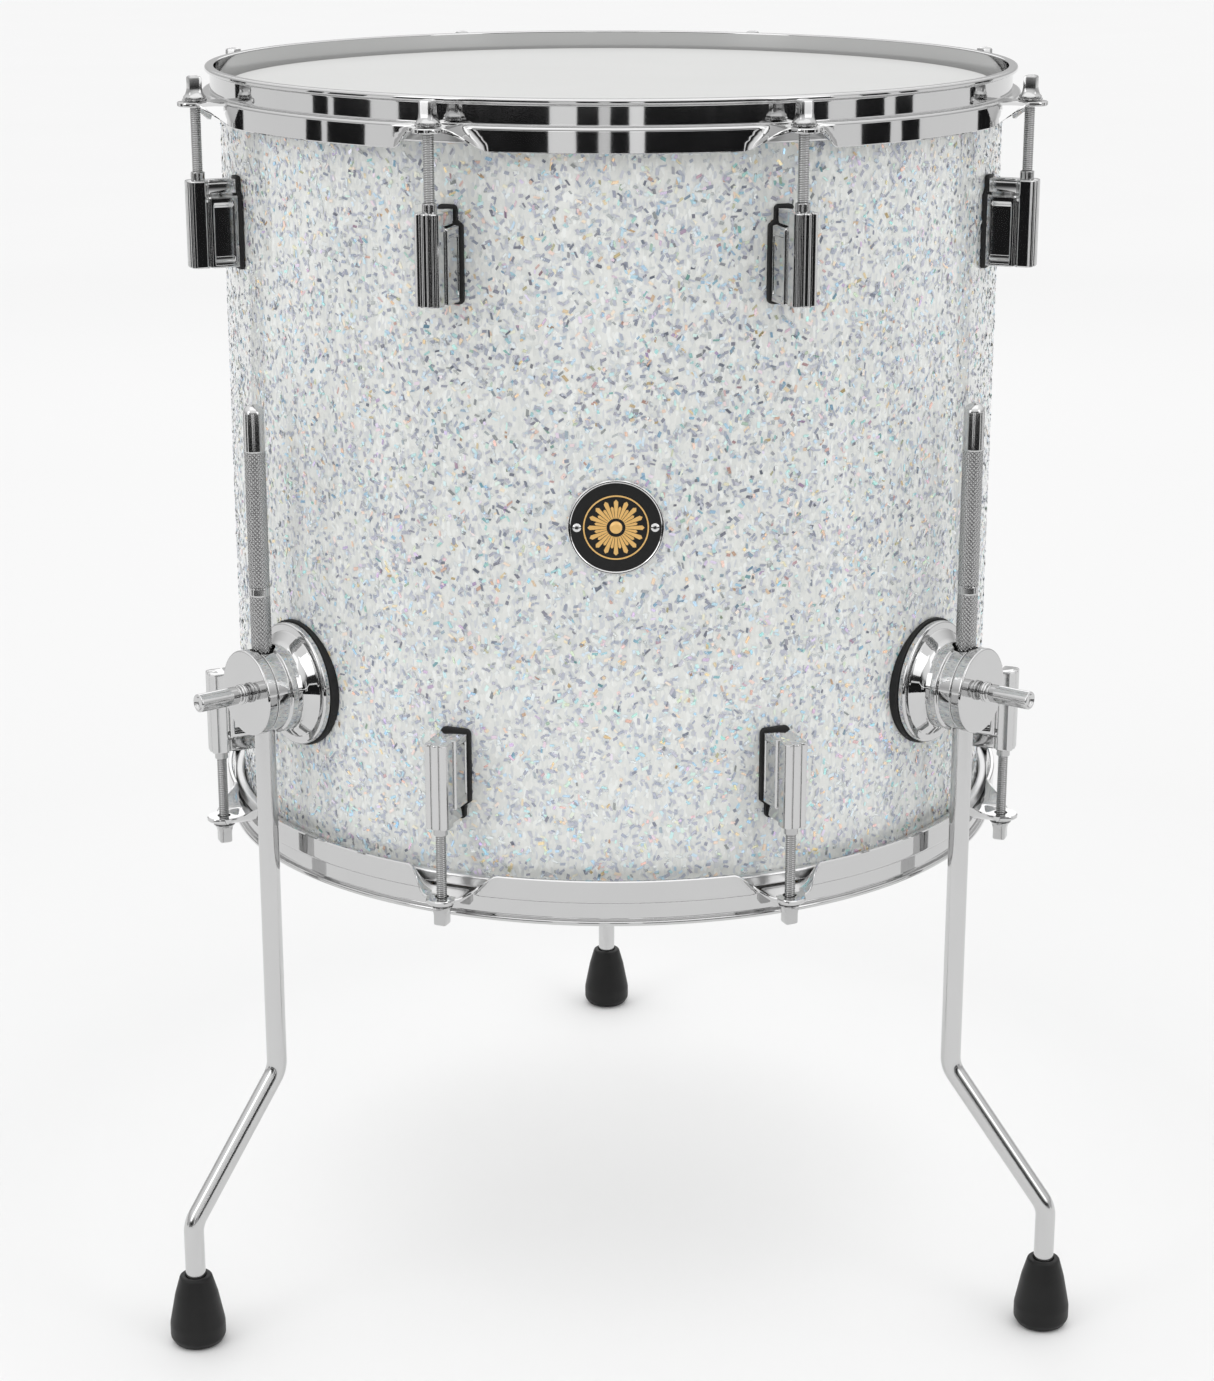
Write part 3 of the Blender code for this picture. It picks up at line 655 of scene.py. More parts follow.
# %% Ring tree
def ring_of_copies():
    """Copies of the pattern, turned about the drum's axis. The pattern is drawn at the front."""
    g = Grove("ring_of_copies", Copies=8, FirstAngle=0.0)
    points = g.node("GeometryNodePoints", sockets={"Count": g.size("Copies")})
    number = g.node("GeometryNodeInputIndex")
    angle = g.size("FirstAngle") + number * math.tau / g.size("Copies")
    turn = g.node("FunctionNodeEulerToRotation", sockets={0: g.combine(0.0, 0.0, angle)})
    sockets = {"Points": points, "Instance": g.pattern(), "Rotation": turn}
    return g.finish(g.node("GeometryNodeInstanceOnPoints", sockets=sockets))


RING = ring_of_copies()
print("tree inputs:", sorted(RING.keys))

# %% [markdown]
# ## Shell, bearing edges and wrap
# The shell is a ply tube, cut at each end to a bearing edge, a rounded slope that the head sits
# on. The wrap is a half millimetre sheet glued round it, which stops short of the edges. Both
# are turned profiles here, as the real tube is trued on a lathe.

# %% Shell
SHELL_LOW, SHELL_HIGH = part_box("shell")[0].z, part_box("shell")[1].z
WRAP_THICKNESS = 0.0005
WOOD_RADIUS = RADIUS - WRAP_THICKNESS - GAP
WOOD_WALL = 0.0066
EDGE_SLOPE = 0.003
WIDE_STEPS = 256


def make_shell():
    inside, peak = WOOD_RADIUS - WOOD_WALL, WOOD_RADIUS - EDGE_SLOPE
    inner_drop = peak - inside
    corners = [
        (peak, SHELL_HIGH, 0.0008),
        (WOOD_RADIUS, SHELL_HIGH - EDGE_SLOPE, 0.0015),
        (WOOD_RADIUS, SHELL_LOW + EDGE_SLOPE, 0.0015),
        (peak, SHELL_LOW, 0.0008),
        (inside, SHELL_LOW + inner_drop, 0.0012),
        (inside, SHELL_HIGH - inner_drop, 0.0012),
    ]
    mesh = moved(turned("shell", eased(corners), WIDE_STEPS, closed=True), about_axis())
    return piece("maple_shell", mesh, MAPLE, "drum", "maple_shell", "shell")


shell = make_shell()
print("shell faces:", len(shell.data.polygons))

# %% [markdown]
# ### The wrap's glitter
# Glass glitter wrap is a clear sheet with slivers of foil film set in it over a white ground. A
# picture of slivers would look painted on. Real slivers lie at slightly different tilts, so some
# catch a lamp while their neighbours reflect the dark room, and the sparkle moves as one walks
# past. So each sliver is a tiny four-sided face of its own. A tree scatters them over the tube at
# random places, spins and tilts, with a fixed seed, and gives each one a number for its tint. The
# ground under them comes first: a clear-coated white sheet with fine flecks of its own.

# %% Ground of the wrap
def glitter_ground():
    f = Finish("glitter_ground", Coat_Weight=1.0, Coat_Roughness=0.05, Coat_IOR=1.45)
    fleck = f.cells(760.0, f.stretched((1.0, 1.0, 0.45), (0.3, 0.2, 0.6)))
    red = f.xyz(fleck)[0]
    tint = f.ramp(
        red,
        (0.0, (0.60, 0.63, 0.68)),
        (0.2, (0.70, 0.72, 0.70)),
        (0.45, (0.76, 0.775, 0.75)),
        (0.8, (0.80, 0.81, 0.78)),
        (0.96, (0.88, 0.90, 0.88)),
    )
    cloud = f.noise(22.0, 2.0)
    f.feed(Base_Color=f.mix(0.35 * cloud, tint, (0.74, 0.755, 0.73)))
    f.feed(Roughness=0.35 + 0.2 * red)
    return f.bump(f.noise(40.0, 1.0), 0.00002).material


def make_wrap():
    corners = [
        (RADIUS, WRAP_HIGH, 0.0001),
        (RADIUS, WRAP_LOW, 0.0001),
        (RADIUS - WRAP_THICKNESS, WRAP_LOW, 0),
        (RADIUS - WRAP_THICKNESS, WRAP_HIGH, 0),
    ]
    mesh = moved(turned("wrap", eased(corners, 2), WIDE_STEPS, closed=True), about_axis())
    return piece("wrap_sheet", mesh, glitter_ground(), "drum", "glass_glitter_wrap", "wrap")


wrap = make_wrap()
print("wrap faces:", len(wrap.data.polygons))

# %% [markdown]
# ### Scattering the slivers
# The chip is drawn once. Its tree picks an angle and a height for each copy, lays it just over the
# sheet and tips it by a few degrees. A sum of two random numbers favours the middle of its range,
# so most chips lie nearly flat and a few tip further, as in real film.

# %% Sliver and its tree
SLIVERS = 52000
SLIVER_LENGTHS = (0.0018, 0.0042)
SLIVER_WIDTHS = (0.0009, 0.0019)
SLIVER_TILT = math.radians(11)
SLIVER_LIFT = 0.00018


def sliver_shape():
    """A skewed four-sided chip, one unit long and wide, facing the front."""
    outline = [(-0.5, -0.35), (0.34, -0.5), (0.5, 0.36), (-0.36, 0.5)]
    mesh = bpy.data.meshes.new("sliver")
    mesh.from_pydata([(x, 0, z) for x, z in outline], [], [(0, 1, 2, 3)])
    return mesh


def scattered_slivers():
    g = Grove(
        "scattered_slivers", Slivers=10, Seed=7, Radius=1.0, Low=0.0, High=1.0, Tilt=0.1, Lift=0.0001,
        Short=1.0, Long=1.0, Thin=1.0, Wide=1.0,
    )

    def random(low, high, number):
        sockets = {2: low, 3: high, "Seed": g.size("Seed") * 31 + number}
        return g.node("FunctionNodeRandomValue", {"data_type": "FLOAT"}, sockets, output=1)

    def middling(low, high, number):
        return 0.5 * (random(low, high, number) + random(low, high, number + 1))

    angle = random(0.0, math.tau, 1)
    reach = g.size("Radius") + g.size("Lift") * random(0.4, 1.6, 2)
    height = random(g.size("Low"), g.size("High"), 3)
    place = g.combine(reach * g.math("SINE", angle), -1.0 * reach * g.math("COSINE", angle), height)
    points = g.node("GeometryNodePoints", sockets={"Count": g.size("Slivers"), "Position": place})
    tilt = middling(-1.0 * g.size("Tilt"), g.size("Tilt"), 4)
    lean = middling(-1.0 * g.size("Tilt"), g.size("Tilt"), 6)
    spin = random(0.0, math.tau, 8)
    turn = g.node("FunctionNodeEulerToRotation", sockets={0: g.combine(tilt, spin, angle + lean)})
    width = random(g.size("Thin"), g.size("Wide"), 9)
    scale = g.combine(width, 1.0, random(g.size("Short"), g.size("Long"), 10))
    sockets = {"Points": points, "Instance": g.pattern(), "Rotation": turn, "Scale": scale}
    chips = g.node("GeometryNodeInstanceOnPoints", sockets=sockets)
    for number, title in enumerate(("tint", "gleam"), start=11):
        chips = g.store(chips, title, random(0.0, 1.0, number), "INSTANCE")
    return g.finish(chips)


SCATTER = scattered_slivers()
print("scatter inputs:", sorted(SCATTER.keys))

# %% [markdown]
# ### Film of the slivers
# Two numbers come with each chip. Its tint picks a place on a ramp of thin-film colours: most are
# greys and whites, and a few are blue, green, orange, pink or violet. Its gleam says how much it
# is bare foil and how much it is milky film.

# %% Sliver film
def sliver_film():
    f = Finish("glitter_sliver", Coat_Weight=0.5, Coat_Roughness=0.06)
    tint, gleam = f.stored("tint"), f.stored("gleam")
    film = f.ramp(
        tint,
        (0.0, (0.40, 0.45, 0.55)),
        (0.22, (0.50, 0.52, 0.62)),
        (0.36, (0.60, 0.60, 0.70)),
        (0.50, (0.66, 0.71, 0.71)),
        (0.64, (0.88, 0.92, 0.90)),
        (0.76, (0.42, 0.72, 1.00)),
        (0.84, (0.50, 0.95, 0.86)),
        (0.90, (1.00, 0.80, 0.42)),
        (0.96, (1.00, 0.62, 0.52)),
        (1.0, (0.74, 0.60, 1.00)),
    )
    milky = (0.0, (0.50, 0.53, 0.60)), (0.45, (0.66, 0.68, 0.71)), (0.7, (0.93, 0.95, 0.94))
    f.feed(Base_Color=f.mix(0.35 + 0.65 * gleam, f.ramp(tint, *milky), film))
    f.feed(Metallic=0.08 + 0.62 * gleam * gleam, Roughness=0.36 - 0.20 * gleam)
    return f.material


SLIVER_FILM = sliver_film()
print("film:", SLIVER_FILM.name)

# %% [markdown]
# ### Laying the slivers
# The tree runs once for the whole wrap. A game engine reads colours from a picture laid over the
# mesh, so each chip also gets its own small square of a UV map, where its one colour can be kept.

# %% Slivers on the wrap
def give_each_face_a_square(mesh, name="OFBake"):
    """A UV map in which every four-sided face has its own small square."""
    count = len(mesh.polygons)
    side = math.ceil(math.sqrt(count))
    number = np.arange(count)
    corner = np.stack([number % side, number // side], 1)[:, None, :]
    inset = np.array([(0.2, 0.2), (0.8, 0.2), (0.8, 0.8), (0.2, 0.8)])[None, :, :]
    layer = mesh.uv_layers.new(name=name)
    layer.data.foreach_set("uv", ((corner + inset) / side).ravel().astype(np.float32))


def make_slivers():
    margin = SLIVER_LENGTHS[1]
    mesh = SCATTER.run(
        "slivers", SLIVER_FILM, pattern=sliver_shape(), Slivers=SLIVERS, Radius=RADIUS,
        Low=WRAP_LOW + margin, High=WRAP_HIGH - margin, Tilt=SLIVER_TILT, Lift=SLIVER_LIFT,
        Short=SLIVER_LENGTHS[0], Long=SLIVER_LENGTHS[1], Thin=SLIVER_WIDTHS[0], Wide=SLIVER_WIDTHS[1],
    )
    mesh.transform(about_axis())
    give_each_face_a_square(mesh)
    return piece("wrap_slivers", mesh, None, "drum", "glass_glitter_wrap")


slivers = make_slivers()
print("slivers:", len(slivers.data.polygons), "UV map:", slivers.data.uv_layers[0].name)

# %% [markdown]
# ## Heads
# A head is one film, drawn tight. It is flat inside the bearing edge and turns down over it into
# a channel of aluminium, the flesh hoop, which the steel hoop pulls on. The flat and the turned
# down collar are one turned sheet. The channel is a separate ring.

# %% Film and flesh hoop
FILM = 0.0005
EDGE_DEPTH = 0.0102
FLESH_INNER, FLESH_OUTER = RADIUS + 0.0008, RADIUS + 0.0054
FLESH_TOP, FLESH_BOTTOM = -0.0153, -0.0215


def make_head(name, node, place):
    """Heights are from the rim of this end's steel hoop."""
    under = GAP - EDGE_DEPTH
    over = under + FILM
    shoulder, wall = WOOD_RADIUS - EDGE_SLOPE, FLESH_INNER + FILM
    corners = [
        (0, over, 0),
        (shoulder - 0.02, over, 0),
        (shoulder, over, 0.004),
        (wall, over - 0.0035, 0.003),
        (wall, FLESH_TOP + GAP, 0),
        (FLESH_INNER, FLESH_TOP + GAP, 0),
        (FLESH_INNER, under - 0.0035, 0.003),
        (shoulder, under, 0.004),
        (shoulder - 0.02, under, 0),
        (0, under, 0),
    ]
    film = moved(turned(name, eased(corners, 6, closed=False), WIDE_STEPS), place)
    piece(name + "_film", film, COATED_FILM, "drum", "coated_head", node)
    ring = [
        (FLESH_OUTER, FLESH_TOP, 0.0012),
        (FLESH_OUTER, FLESH_BOTTOM, 0.0012),
        (FLESH_INNER, FLESH_BOTTOM, 0.0012),
        (FLESH_INNER, FLESH_TOP, 0.0012),
    ]
    channel = moved(turned(name + "_channel", eased(ring, 4), WIDE_STEPS, closed=True), place)
    piece(name + "_flesh_hoop", channel, FLESH_METAL, "drum", "coated_head", node)


make_head("batter", "batter_head", about_axis(TOP_RIM))
make_head("resonant", "resonant_head", upside_down(BOTTOM_RIM))
print(f"flesh hoops {2000 * FLESH_OUTER:.1f} mm across")

# %% [markdown]
# ## Steel hoops
# A triple-flanged hoop is rolled from strip: a lip turned out at the top, a straight wall, a
# second flange and a skirt. At each tension rod a die swings the skirt up and outward into a flat
# ear. That is exactly how it is made here. A plain hoop is turned, and a tree swings its skirt
# wherever an ear is near. Three numbers stored on every point say how far out and how far up it
# goes at a full ear, and how far down the skirt it lies. The tree works out how much of that
# applies at each place. The skirt's edge starts to swing further from the ear than the shoulder
# above it does, as real sheet would.

# %% Plain hoop
HOOP_STEEL = 0.0023
HOOP_HEIGHT = 0.0244
HOOP_INNER = RADIUS + 0.0027
LIP_RADIUS = HOOP_INNER + 0.0048
FLANGE_DEPTH = 0.0124
SKIRT_INNER = FLESH_OUTER + 0.0018
SKIRT_OUTER = SKIRT_INNER + HOOP_STEEL
EAR_TIP = ROD_CIRCLE + 0.0084
EAR_TOP = -FLANGE_DEPTH - 0.0003
EAR_HALF_WIDTH = 0.0070
EAR_FLANK = 0.019
EDGE_ROUND = 0.0005
ROD_HOLE = 0.0035


def hoop_angles():
    """Stations close together at every ear and its flanks, and wider apart between."""
    reach = (EAR_HALF_WIDTH + EAR_FLANK + 0.001) / ROD_CIRCLE
    half_pitch = math.pi / len(LUGS)
    near = np.linspace(-reach, reach, 72, endpoint=False)
    plain = np.linspace(reach, 2 * half_pitch - reach, 18, endpoint=False)
    ears = sorted(angle % math.tau for angle in LUG_ANGLES)
    return [ear + offset for ear in ears for offset in [*near, *plain]]


def hoop_section():
    """Points as (radius, height, radius at an ear, height at an ear, share of the reach)."""
    wall, under = HOOP_INNER + HOOP_STEEL, -FLANGE_DEPTH - HOOP_STEEL
    rolled = [
        (HOOP_INNER, under + HOOP_STEEL, 0),
        (HOOP_INNER, 0, 0.0006),
        (LIP_RADIUS, 0, 0.0011),
        (LIP_RADIUS, -0.0024, 0.0011),
        (wall, -0.0031, 0.0006),
        (wall, -FLANGE_DEPTH, 0.0015),
        (SKIRT_OUTER - 0.0036, -FLANGE_DEPTH, 0),
    ]
    section = [(r, z, r, z, 0.0) for r, z in eased(rolled, 5, closed=False)]
    root = section[-1][0]
    shoulder = [
        (root, -FLANGE_DEPTH, 0),
        (SKIRT_OUTER, -FLANGE_DEPTH, 0.0034),
        (SKIRT_OUTER, EDGE_ROUND - HOOP_HEIGHT, 0),
    ]
    outside = eased(shoulder, 8, closed=False)[1:-1]
    lower_edge = EDGE_ROUND - HOOP_HEIGHT
    outside += [(SKIRT_OUTER, z) for z in np.linspace(outside[-1][1], lower_edge, 5)[1:]]
    for r, z in outside:
        share = (-FLANGE_DEPTH - z) / (HOOP_HEIGHT - EDGE_ROUND - FLANGE_DEPTH)
        section.append((r, z, root + share * (EAR_TIP - root), EAR_TOP, share))
    ear_under, ear_edge = EAR_TOP - HOOP_STEEL, EAR_TIP + EDGE_ROUND
    section.append((SKIRT_OUTER - EDGE_ROUND, -HOOP_HEIGHT, ear_edge, EAR_TOP - EDGE_ROUND, 1.0))
    section.append((SKIRT_INNER + EDGE_ROUND, -HOOP_HEIGHT, ear_edge, ear_under + EDGE_ROUND, 1.0))
    for share in np.linspace(1.0, 0.0, 5):
        height = under - share * (HOOP_HEIGHT - EDGE_ROUND + under)
        reach = SKIRT_INNER + share * (EAR_TIP - SKIRT_INNER)
        section.append((SKIRT_INNER, height, reach, ear_under, share))
    section.append((HOOP_INNER + EDGE_ROUND, under, HOOP_INNER + EDGE_ROUND, under, 0.0))
    return section


def plain_hoop():
    section, angles = hoop_section(), hoop_angles()
    rows = []
    for angle in angles:
        rows.append([(r * math.sin(angle), -r * math.cos(angle), z) for r, z, *moves in section])
    mesh = joined("hoop", rows, loop=True)
    moves = np.array([(out - r, up - z, reach) for r, z, out, up, reach in section])
    for title, column in zip(("out", "up", "reach"), np.tile(moves, (len(angles), 1)).T):
        stored = mesh.attributes.new(title, "FLOAT", "POINT")
        stored.data.foreach_set("value", column.astype(np.float32))
    return mesh


print("hoop section points:", len(hoop_section()), "stations:", len(hoop_angles()))

# %% [markdown]
# ### Ears
# The tree measures how far each point lies from the nearest ear, along the rod circle. From that
# comes the share of the full swing: all of it on the ear, none past the flank, and a smooth step
# between. The ear's tip is rounded in plan by the circle equation. The holes for the rods are
# drilled afterwards, and the finished hoop serves both ends of the drum.

# %% Ears by a tree
def eared_hoop():
    g = Grove("eared_hoop", Ears=8, FirstAngle=0.0, RodCircle=1.0, HalfWidth=0.01, Flank=0.01)
    x, y, z, radius = g.place()
    pitch = math.tau / g.size("Ears")
    steps = (g.math("ARCTAN2", x, -1.0 * y) - g.size("FirstAngle")) / pitch
    run = g.math("ABSOLUTE", steps - g.math("ROUND", steps)) * pitch * g.size("RodCircle")
    half = g.size("HalfWidth")
    flank = g.size("Flank") * (0.5 + 0.5 * g.stored("reach"))
    near = g.math("MAXIMUM", 1.0 - (run - half) / flank, 0.0)
    ramp = g.math("MINIMUM", near, 1.0)
    share = ramp * ramp * (3.0 - 2.0 * ramp)
    tip = g.math("SQRT", g.math("MAXIMUM", half * half - run * run, 0.0)) - half
    grow = (radius + share * (g.stored("out") + tip * g.stored("reach"))) / radius
    height = z + share * g.stored("up")
    return g.finish(g.moved(g.size("Geometry"), x * grow, y * grow, height))


def make_hoops():
    first = LUG_ANGLES[0]
    mesh = eared_hoop().run(
        "hoop", HOOP_CHROME, plain_hoop(), Ears=len(LUGS), FirstAngle=first, RodCircle=ROD_CIRCLE,
        HalfWidth=EAR_HALF_WIDTH, Flank=EAR_FLANK,
    )
    hole = drill(ROD_HOLE, -0.02, -0.01, Matrix.Translation((0, -ROD_CIRCLE, 0)))
    mesh = cut(mesh, RING.run("holes", HOOP_CHROME, pattern=hole, Copies=len(LUGS), FirstAngle=first))
    for end, place in (("top", about_axis(TOP_RIM)), ("bottom", upside_down(BOTTOM_RIM))):
        hoop = moved(mesh, place)
        piece(f"{end}_steel_hoop", hoop, HOOP_CHROME, "drum", "hoop_chrome", f"{end}_hoop")
    return mesh


hoop = make_hoops()
print("hoop faces:", len(hoop.polygons))

# %% [markdown]
# ## Lugs
# A lug anchors a tension rod to the shell. This one is a slim box with a fluted column standing
# in front of it, which holds the rod. The column has three rounded flutes with a dark groove on
# either side of the middle one, a slot parts it from the box, and the box is pinched at the rod
# end. The section changes only there and at the ends, so the lug is lofted up its height from
# one outline function. One lug is made and a tree repeats it round the drum.

# %% Lug outline
LUG_HEIGHT = 0.0435
LUG_FROM_RIM = 0.073
LUG_FRONT = ROD_CIRCLE + 0.0062
LUG_HALF = 0.0069
NECK_HALF = 0.0040
COLUMN_HALF = 0.0061
COLUMN_BACK = LUG_FRONT - 0.0084
BOX_FRONT = LUG_FRONT - 0.0099
GASKET = 0.002
LUG_BACK = RADIUS + 2 * GAP + GASKET
LUG_BASE, LUG_END = -LUG_HEIGHT / 2, LUG_HEIGHT / 2
NECK_START = LUG_END - 0.0085
PANEL_LOW, PANEL_HIGH = LUG_BASE + 0.0032, NECK_START - 0.0035
BORE = 0.0031
LUG_BORE_DEPTH = 0.0216


def soft_step(value, low, high):
    share = min(max((value - low) / (high - low), 0.0), 1.0)
    return share * share * (3 - 2 * share)


def lug_outline(y):
    """Half of the section at height y, from the middle of the front round to the back."""
    groove, flute = 0.0021, 0.00035
    neck = soft_step(y, NECK_START, NECK_START + 0.0022)
    slot = 1 - soft_step(y, NECK_START - 0.0012, NECK_START + 0.0004)
    panel = soft_step(y, PANEL_LOW, PANEL_LOW + 0.0007) - soft_step(y, PANEL_HIGH - 0.0007, PANEL_HIGH)
    box = LUG_HALF + neck * (NECK_HALF - LUG_HALF)
    slot_in = min(COLUMN_HALF - 0.0014 * slot, box + (1 - neck))
    slot_in = slot_in + neck * (NECK_HALF - slot_in)
    side = box - 0.00045 * panel
    return [
        (0.0, LUG_FRONT, 0),
        (0.0010, LUG_FRONT - flute * 0.3, 0),
        (groove - 0.0003, LUG_FRONT - flute * 1.6, 0.0003),
        (groove - 0.00015, LUG_FRONT - 0.0014, 0.0001),
        (groove + 0.00025, LUG_FRONT - 0.0014, 0.0001),
        (groove + 0.0005, LUG_FRONT - flute * 1.8, 0.0003),
        (groove + 0.0018, LUG_FRONT - flute * 0.9, 0.0008),
        (COLUMN_HALF - 0.0006, LUG_FRONT - 0.0011, 0.0010),
        (COLUMN_HALF, LUG_FRONT - 0.0028, 0.0012),
        (COLUMN_HALF, COLUMN_BACK, 0.0006),
        (slot_in, COLUMN_BACK - 0.0003, 0.0002),
        (slot_in, BOX_FRONT + 0.0003, 0.0002),
        (box - 0.0006, BOX_FRONT, 0.0003),
        (box, BOX_FRONT - 0.0006, 0.0006),
        (box, BOX_FRONT - 0.0018, 0.0003),
        (side, BOX_FRONT - 0.0022, 0.0002),
        (side, LUG_BACK + 0.0024, 0.0002),
        (box, LUG_BACK + 0.0019, 0.0003),
        (box, LUG_BACK, 0),
    ]


def lug_row(y, inset):
    half = eased(lug_outline(y), 3, closed=False)
    half = [(max(x - inset, 0.0) if x > 0 else x, z - inset * (z > BOX_FRONT - 0.001)) for x, z in half]
    mirrored = [(-x, z) for x, z in reversed(half[1:])]
    return [(x, y, z) for x, z in half + mirrored]


print("lug outline points:", len(lug_row(0.0, 0.0)))

# %% [markdown]
# ### Body of a lug
# The lug's rows stand close together where the outline changes, at the panel's ends and the neck,
# and far apart between them. A bore takes the rod, and a small collar round it, the top of the
# swivel nut inside, shows at the lug's mouth.

# %% Lug body and collar
def lug_mesh():
    ends = 0.0006
    levels = [(LUG_BASE, ends), (LUG_BASE + ends / 3, ends / 3), (LUG_BASE + ends, 0.0)]
    levels.append((LUG_BASE + ends + GUARD, 0.0))
    levels += [(PANEL_LOW + 0.0007 * k / 3, 0.0) for k in range(4)]
    levels += [(y, 0.0) for y in np.linspace(PANEL_LOW + 0.003, PANEL_HIGH - 0.002, 5)]
    levels += [(PANEL_HIGH - 0.0007 + 0.0007 * k / 3, 0.0) for k in range(4)]
    levels += [(NECK_START - 0.0012 + 0.0034 * k / 9, 0.0) for k in range(10)]
    levels.append((LUG_END - ends - GUARD, 0.0))
    levels += [(LUG_END - ends, 0.0), (LUG_END - ends / 3, ends / 3), (LUG_END, ends)]
    body = joined("lug", [lug_row(y, inset) for y, inset in levels], crease=32)
    bore = drill(BORE, LUG_END - LUG_BORE_DEPTH, LUG_END + 0.001, along_y(ROD_CIRCLE))
    return cut(body, bore, crease=32)


def lug_collar():
    """Seated in the mouth of the bore, at the lug's rod end."""
    outer, high, low = 0.0035, 0.0040, -0.0004
    profile = [
        (outer, high, 0.0005),
        (outer, 0.0002, 0),
        (outer, low, 0),
        (BORE, low, 0),
        (BORE, high, 0.0003),
    ]
    collar = turned("collar", eased(profile, 4), 40, closed=True)
    return moved(collar, along_y(ROD_CIRCLE) @ Matrix.Translation((0, 0, LUG_END)))


LUG = lug_mesh()
print("lug faces:", len(LUG.polygons))

# %% [markdown]
# ### Gaskets, and a ring of each
# A rubber gasket under each lug follows its outline and shows as a thin black line. Then the body,
# the collar and the gasket are each repeated round both ends of the drum.

# %% Lug gaskets, and everything in a ring
def plate(name, outline, low, high, edge=0.0003):
    """A flat plate with softened edges, from an (x, y) outline."""
    centre = sum((Vector(p) for p in outline), Vector((0, 0))) / len(outline)
    rows = []
    for z, inset in ((low, 0.0), (high - edge, 0.0), (high - edge / 3, edge / 3), (high, edge)):
        rows.append([(*(Vector(p) - (Vector(p) - centre).normalized() * inset), z) for p in outline])
    return joined(name, rows)


def gasket_outline():
    half, neck, step = LUG_HALF + 0.0010, NECK_HALF + 0.0009, NECK_START + 0.0005
    low, high = LUG_BASE - 0.0016, LUG_END + 0.0014
    right = [
        (half, low, 0.0026),
        (half, step, 0.0012),
        (neck, step + 0.0024, 0.0012),
        (neck, high, 0.0022),
    ]
    return eased(right + [(-x, y, radius) for x, y, radius in reversed(right)])


def at_front(mesh):
    """From the bench to the front of the drum, about its axis. The rod end is up."""
    return moved(mesh, Matrix.Rotation(math.pi / 2, 4, "X"))


def make_lugs():
    gasket = plate("gasket", gasket_outline(), RADIUS + GAP, LUG_BACK - GAP)
    parts = {
        "lugs": (LUG, LUG_CHROME, "lug_chrome"),
        "lug_collars": (lug_collar(), ROD_STEEL, "lug_chrome"),
        "lug_gaskets": (gasket, GASKET_RUBBER, "gasket_rubber"),
    }
    drop = Matrix.Translation((0, 0, -LUG_FROM_RIM))
    for end, place in (("top", about_axis(TOP_RIM)), ("bottom", upside_down(BOTTOM_RIM))):
        nodes = [f"{end}_lug_{n}" for n in LUGS]
        for title, (mesh, finish, slot) in parts.items():
            one = moved(at_front(mesh), drop)
            ring = RING.run(title, finish, pattern=one, Copies=len(LUGS), FirstAngle=LUG_ANGLES[0])
            piece(f"{end}_{title}", moved(ring, place), finish, "drum", slot, *nodes)
            print(end, title, "faces:", len(ring.polygons))


make_lugs()

# %% [markdown]
# ## Tension rods
# A tension rod is a screw with a square head for a drum key and a bell under it that spreads the
# load on the ear. The thread is a true spiral: a tree moves each point of a plain shaft in or out
# by where it lies along the spiral, so pitch and depth stay two numbers that can be changed.

# %% Threaded shaft by a tree
ROD_RADIUS = 0.0027
THREAD_PITCH = 0.00106
THREAD_DEPTH = 0.00038
THREAD_ROWS = 240
THREAD_SIDES = 14
ROD_SEAT = EAR_TOP + GAP
ROD_TIP = -LUG_FROM_RIM + LUG_END - 0.0205


def thread_tree():
    g = Grove("spiral_thread", Pitch=0.001, Depth=0.0003, Radius=0.003)
    x, y, z, radius = g.place()
    phase = z / g.size("Pitch") - g.math("ARCTAN2", y, x) / math.tau
    wave = g.math("ABSOLUTE", 2.0 * g.math("FRACT", phase) - 1.0)
    on_wall = radius > 0.6 * g.size("Radius")
    return g.finish(g.engraved(on_wall * wave, g.size("Depth")))


def shaft_mesh():
    """A plain shaft with a chamfered tip, in rows close enough to carry the thread."""
    chamfer = 0.001
    angles = [math.tau * k / THREAD_SIDES for k in range(THREAD_SIDES)]
    rows = []
    for k in range(THREAD_ROWS + 1):
        height = ROD_TIP + (ROD_SEAT - ROD_TIP) * k / THREAD_ROWS
        radius = ROD_RADIUS * (1 - 0.25 * max(0.0, 1 - (height - ROD_TIP) / chamfer))
        rows.append([(radius * math.cos(a), radius * math.sin(a), height) for a in angles])
    return joined("shaft", rows, crease=80)


SHAFT = thread_tree().run(
    "shaft", ROD_STEEL, shaft_mesh(), Pitch=THREAD_PITCH, Depth=THREAD_DEPTH, Radius=ROD_RADIUS,
)
print("threaded shaft faces:", len(SHAFT.polygons))

# %% [markdown]
# ### Rod heads
# The head is lofted like the lug: a washer, the round bell and then the square that takes a key.
# One number turns the outline from round to square, so that the bell can flow into the square.

# %% Rod heads, and a rod in every lug
WASHER = 0.0012
HEAD_HALF = 0.0033
HEAD_TOP = -0.0002
HEAD_SIDES = 32


def squared(angle, half, share):
    """Reach of a round (share 0) or eased square (share 1) outline at this angle."""
    power = 2 + 8 * share
    c, s = abs(math.cos(angle)), abs(math.sin(angle))
    return half / (c ** power + s ** power) ** (1 / power)


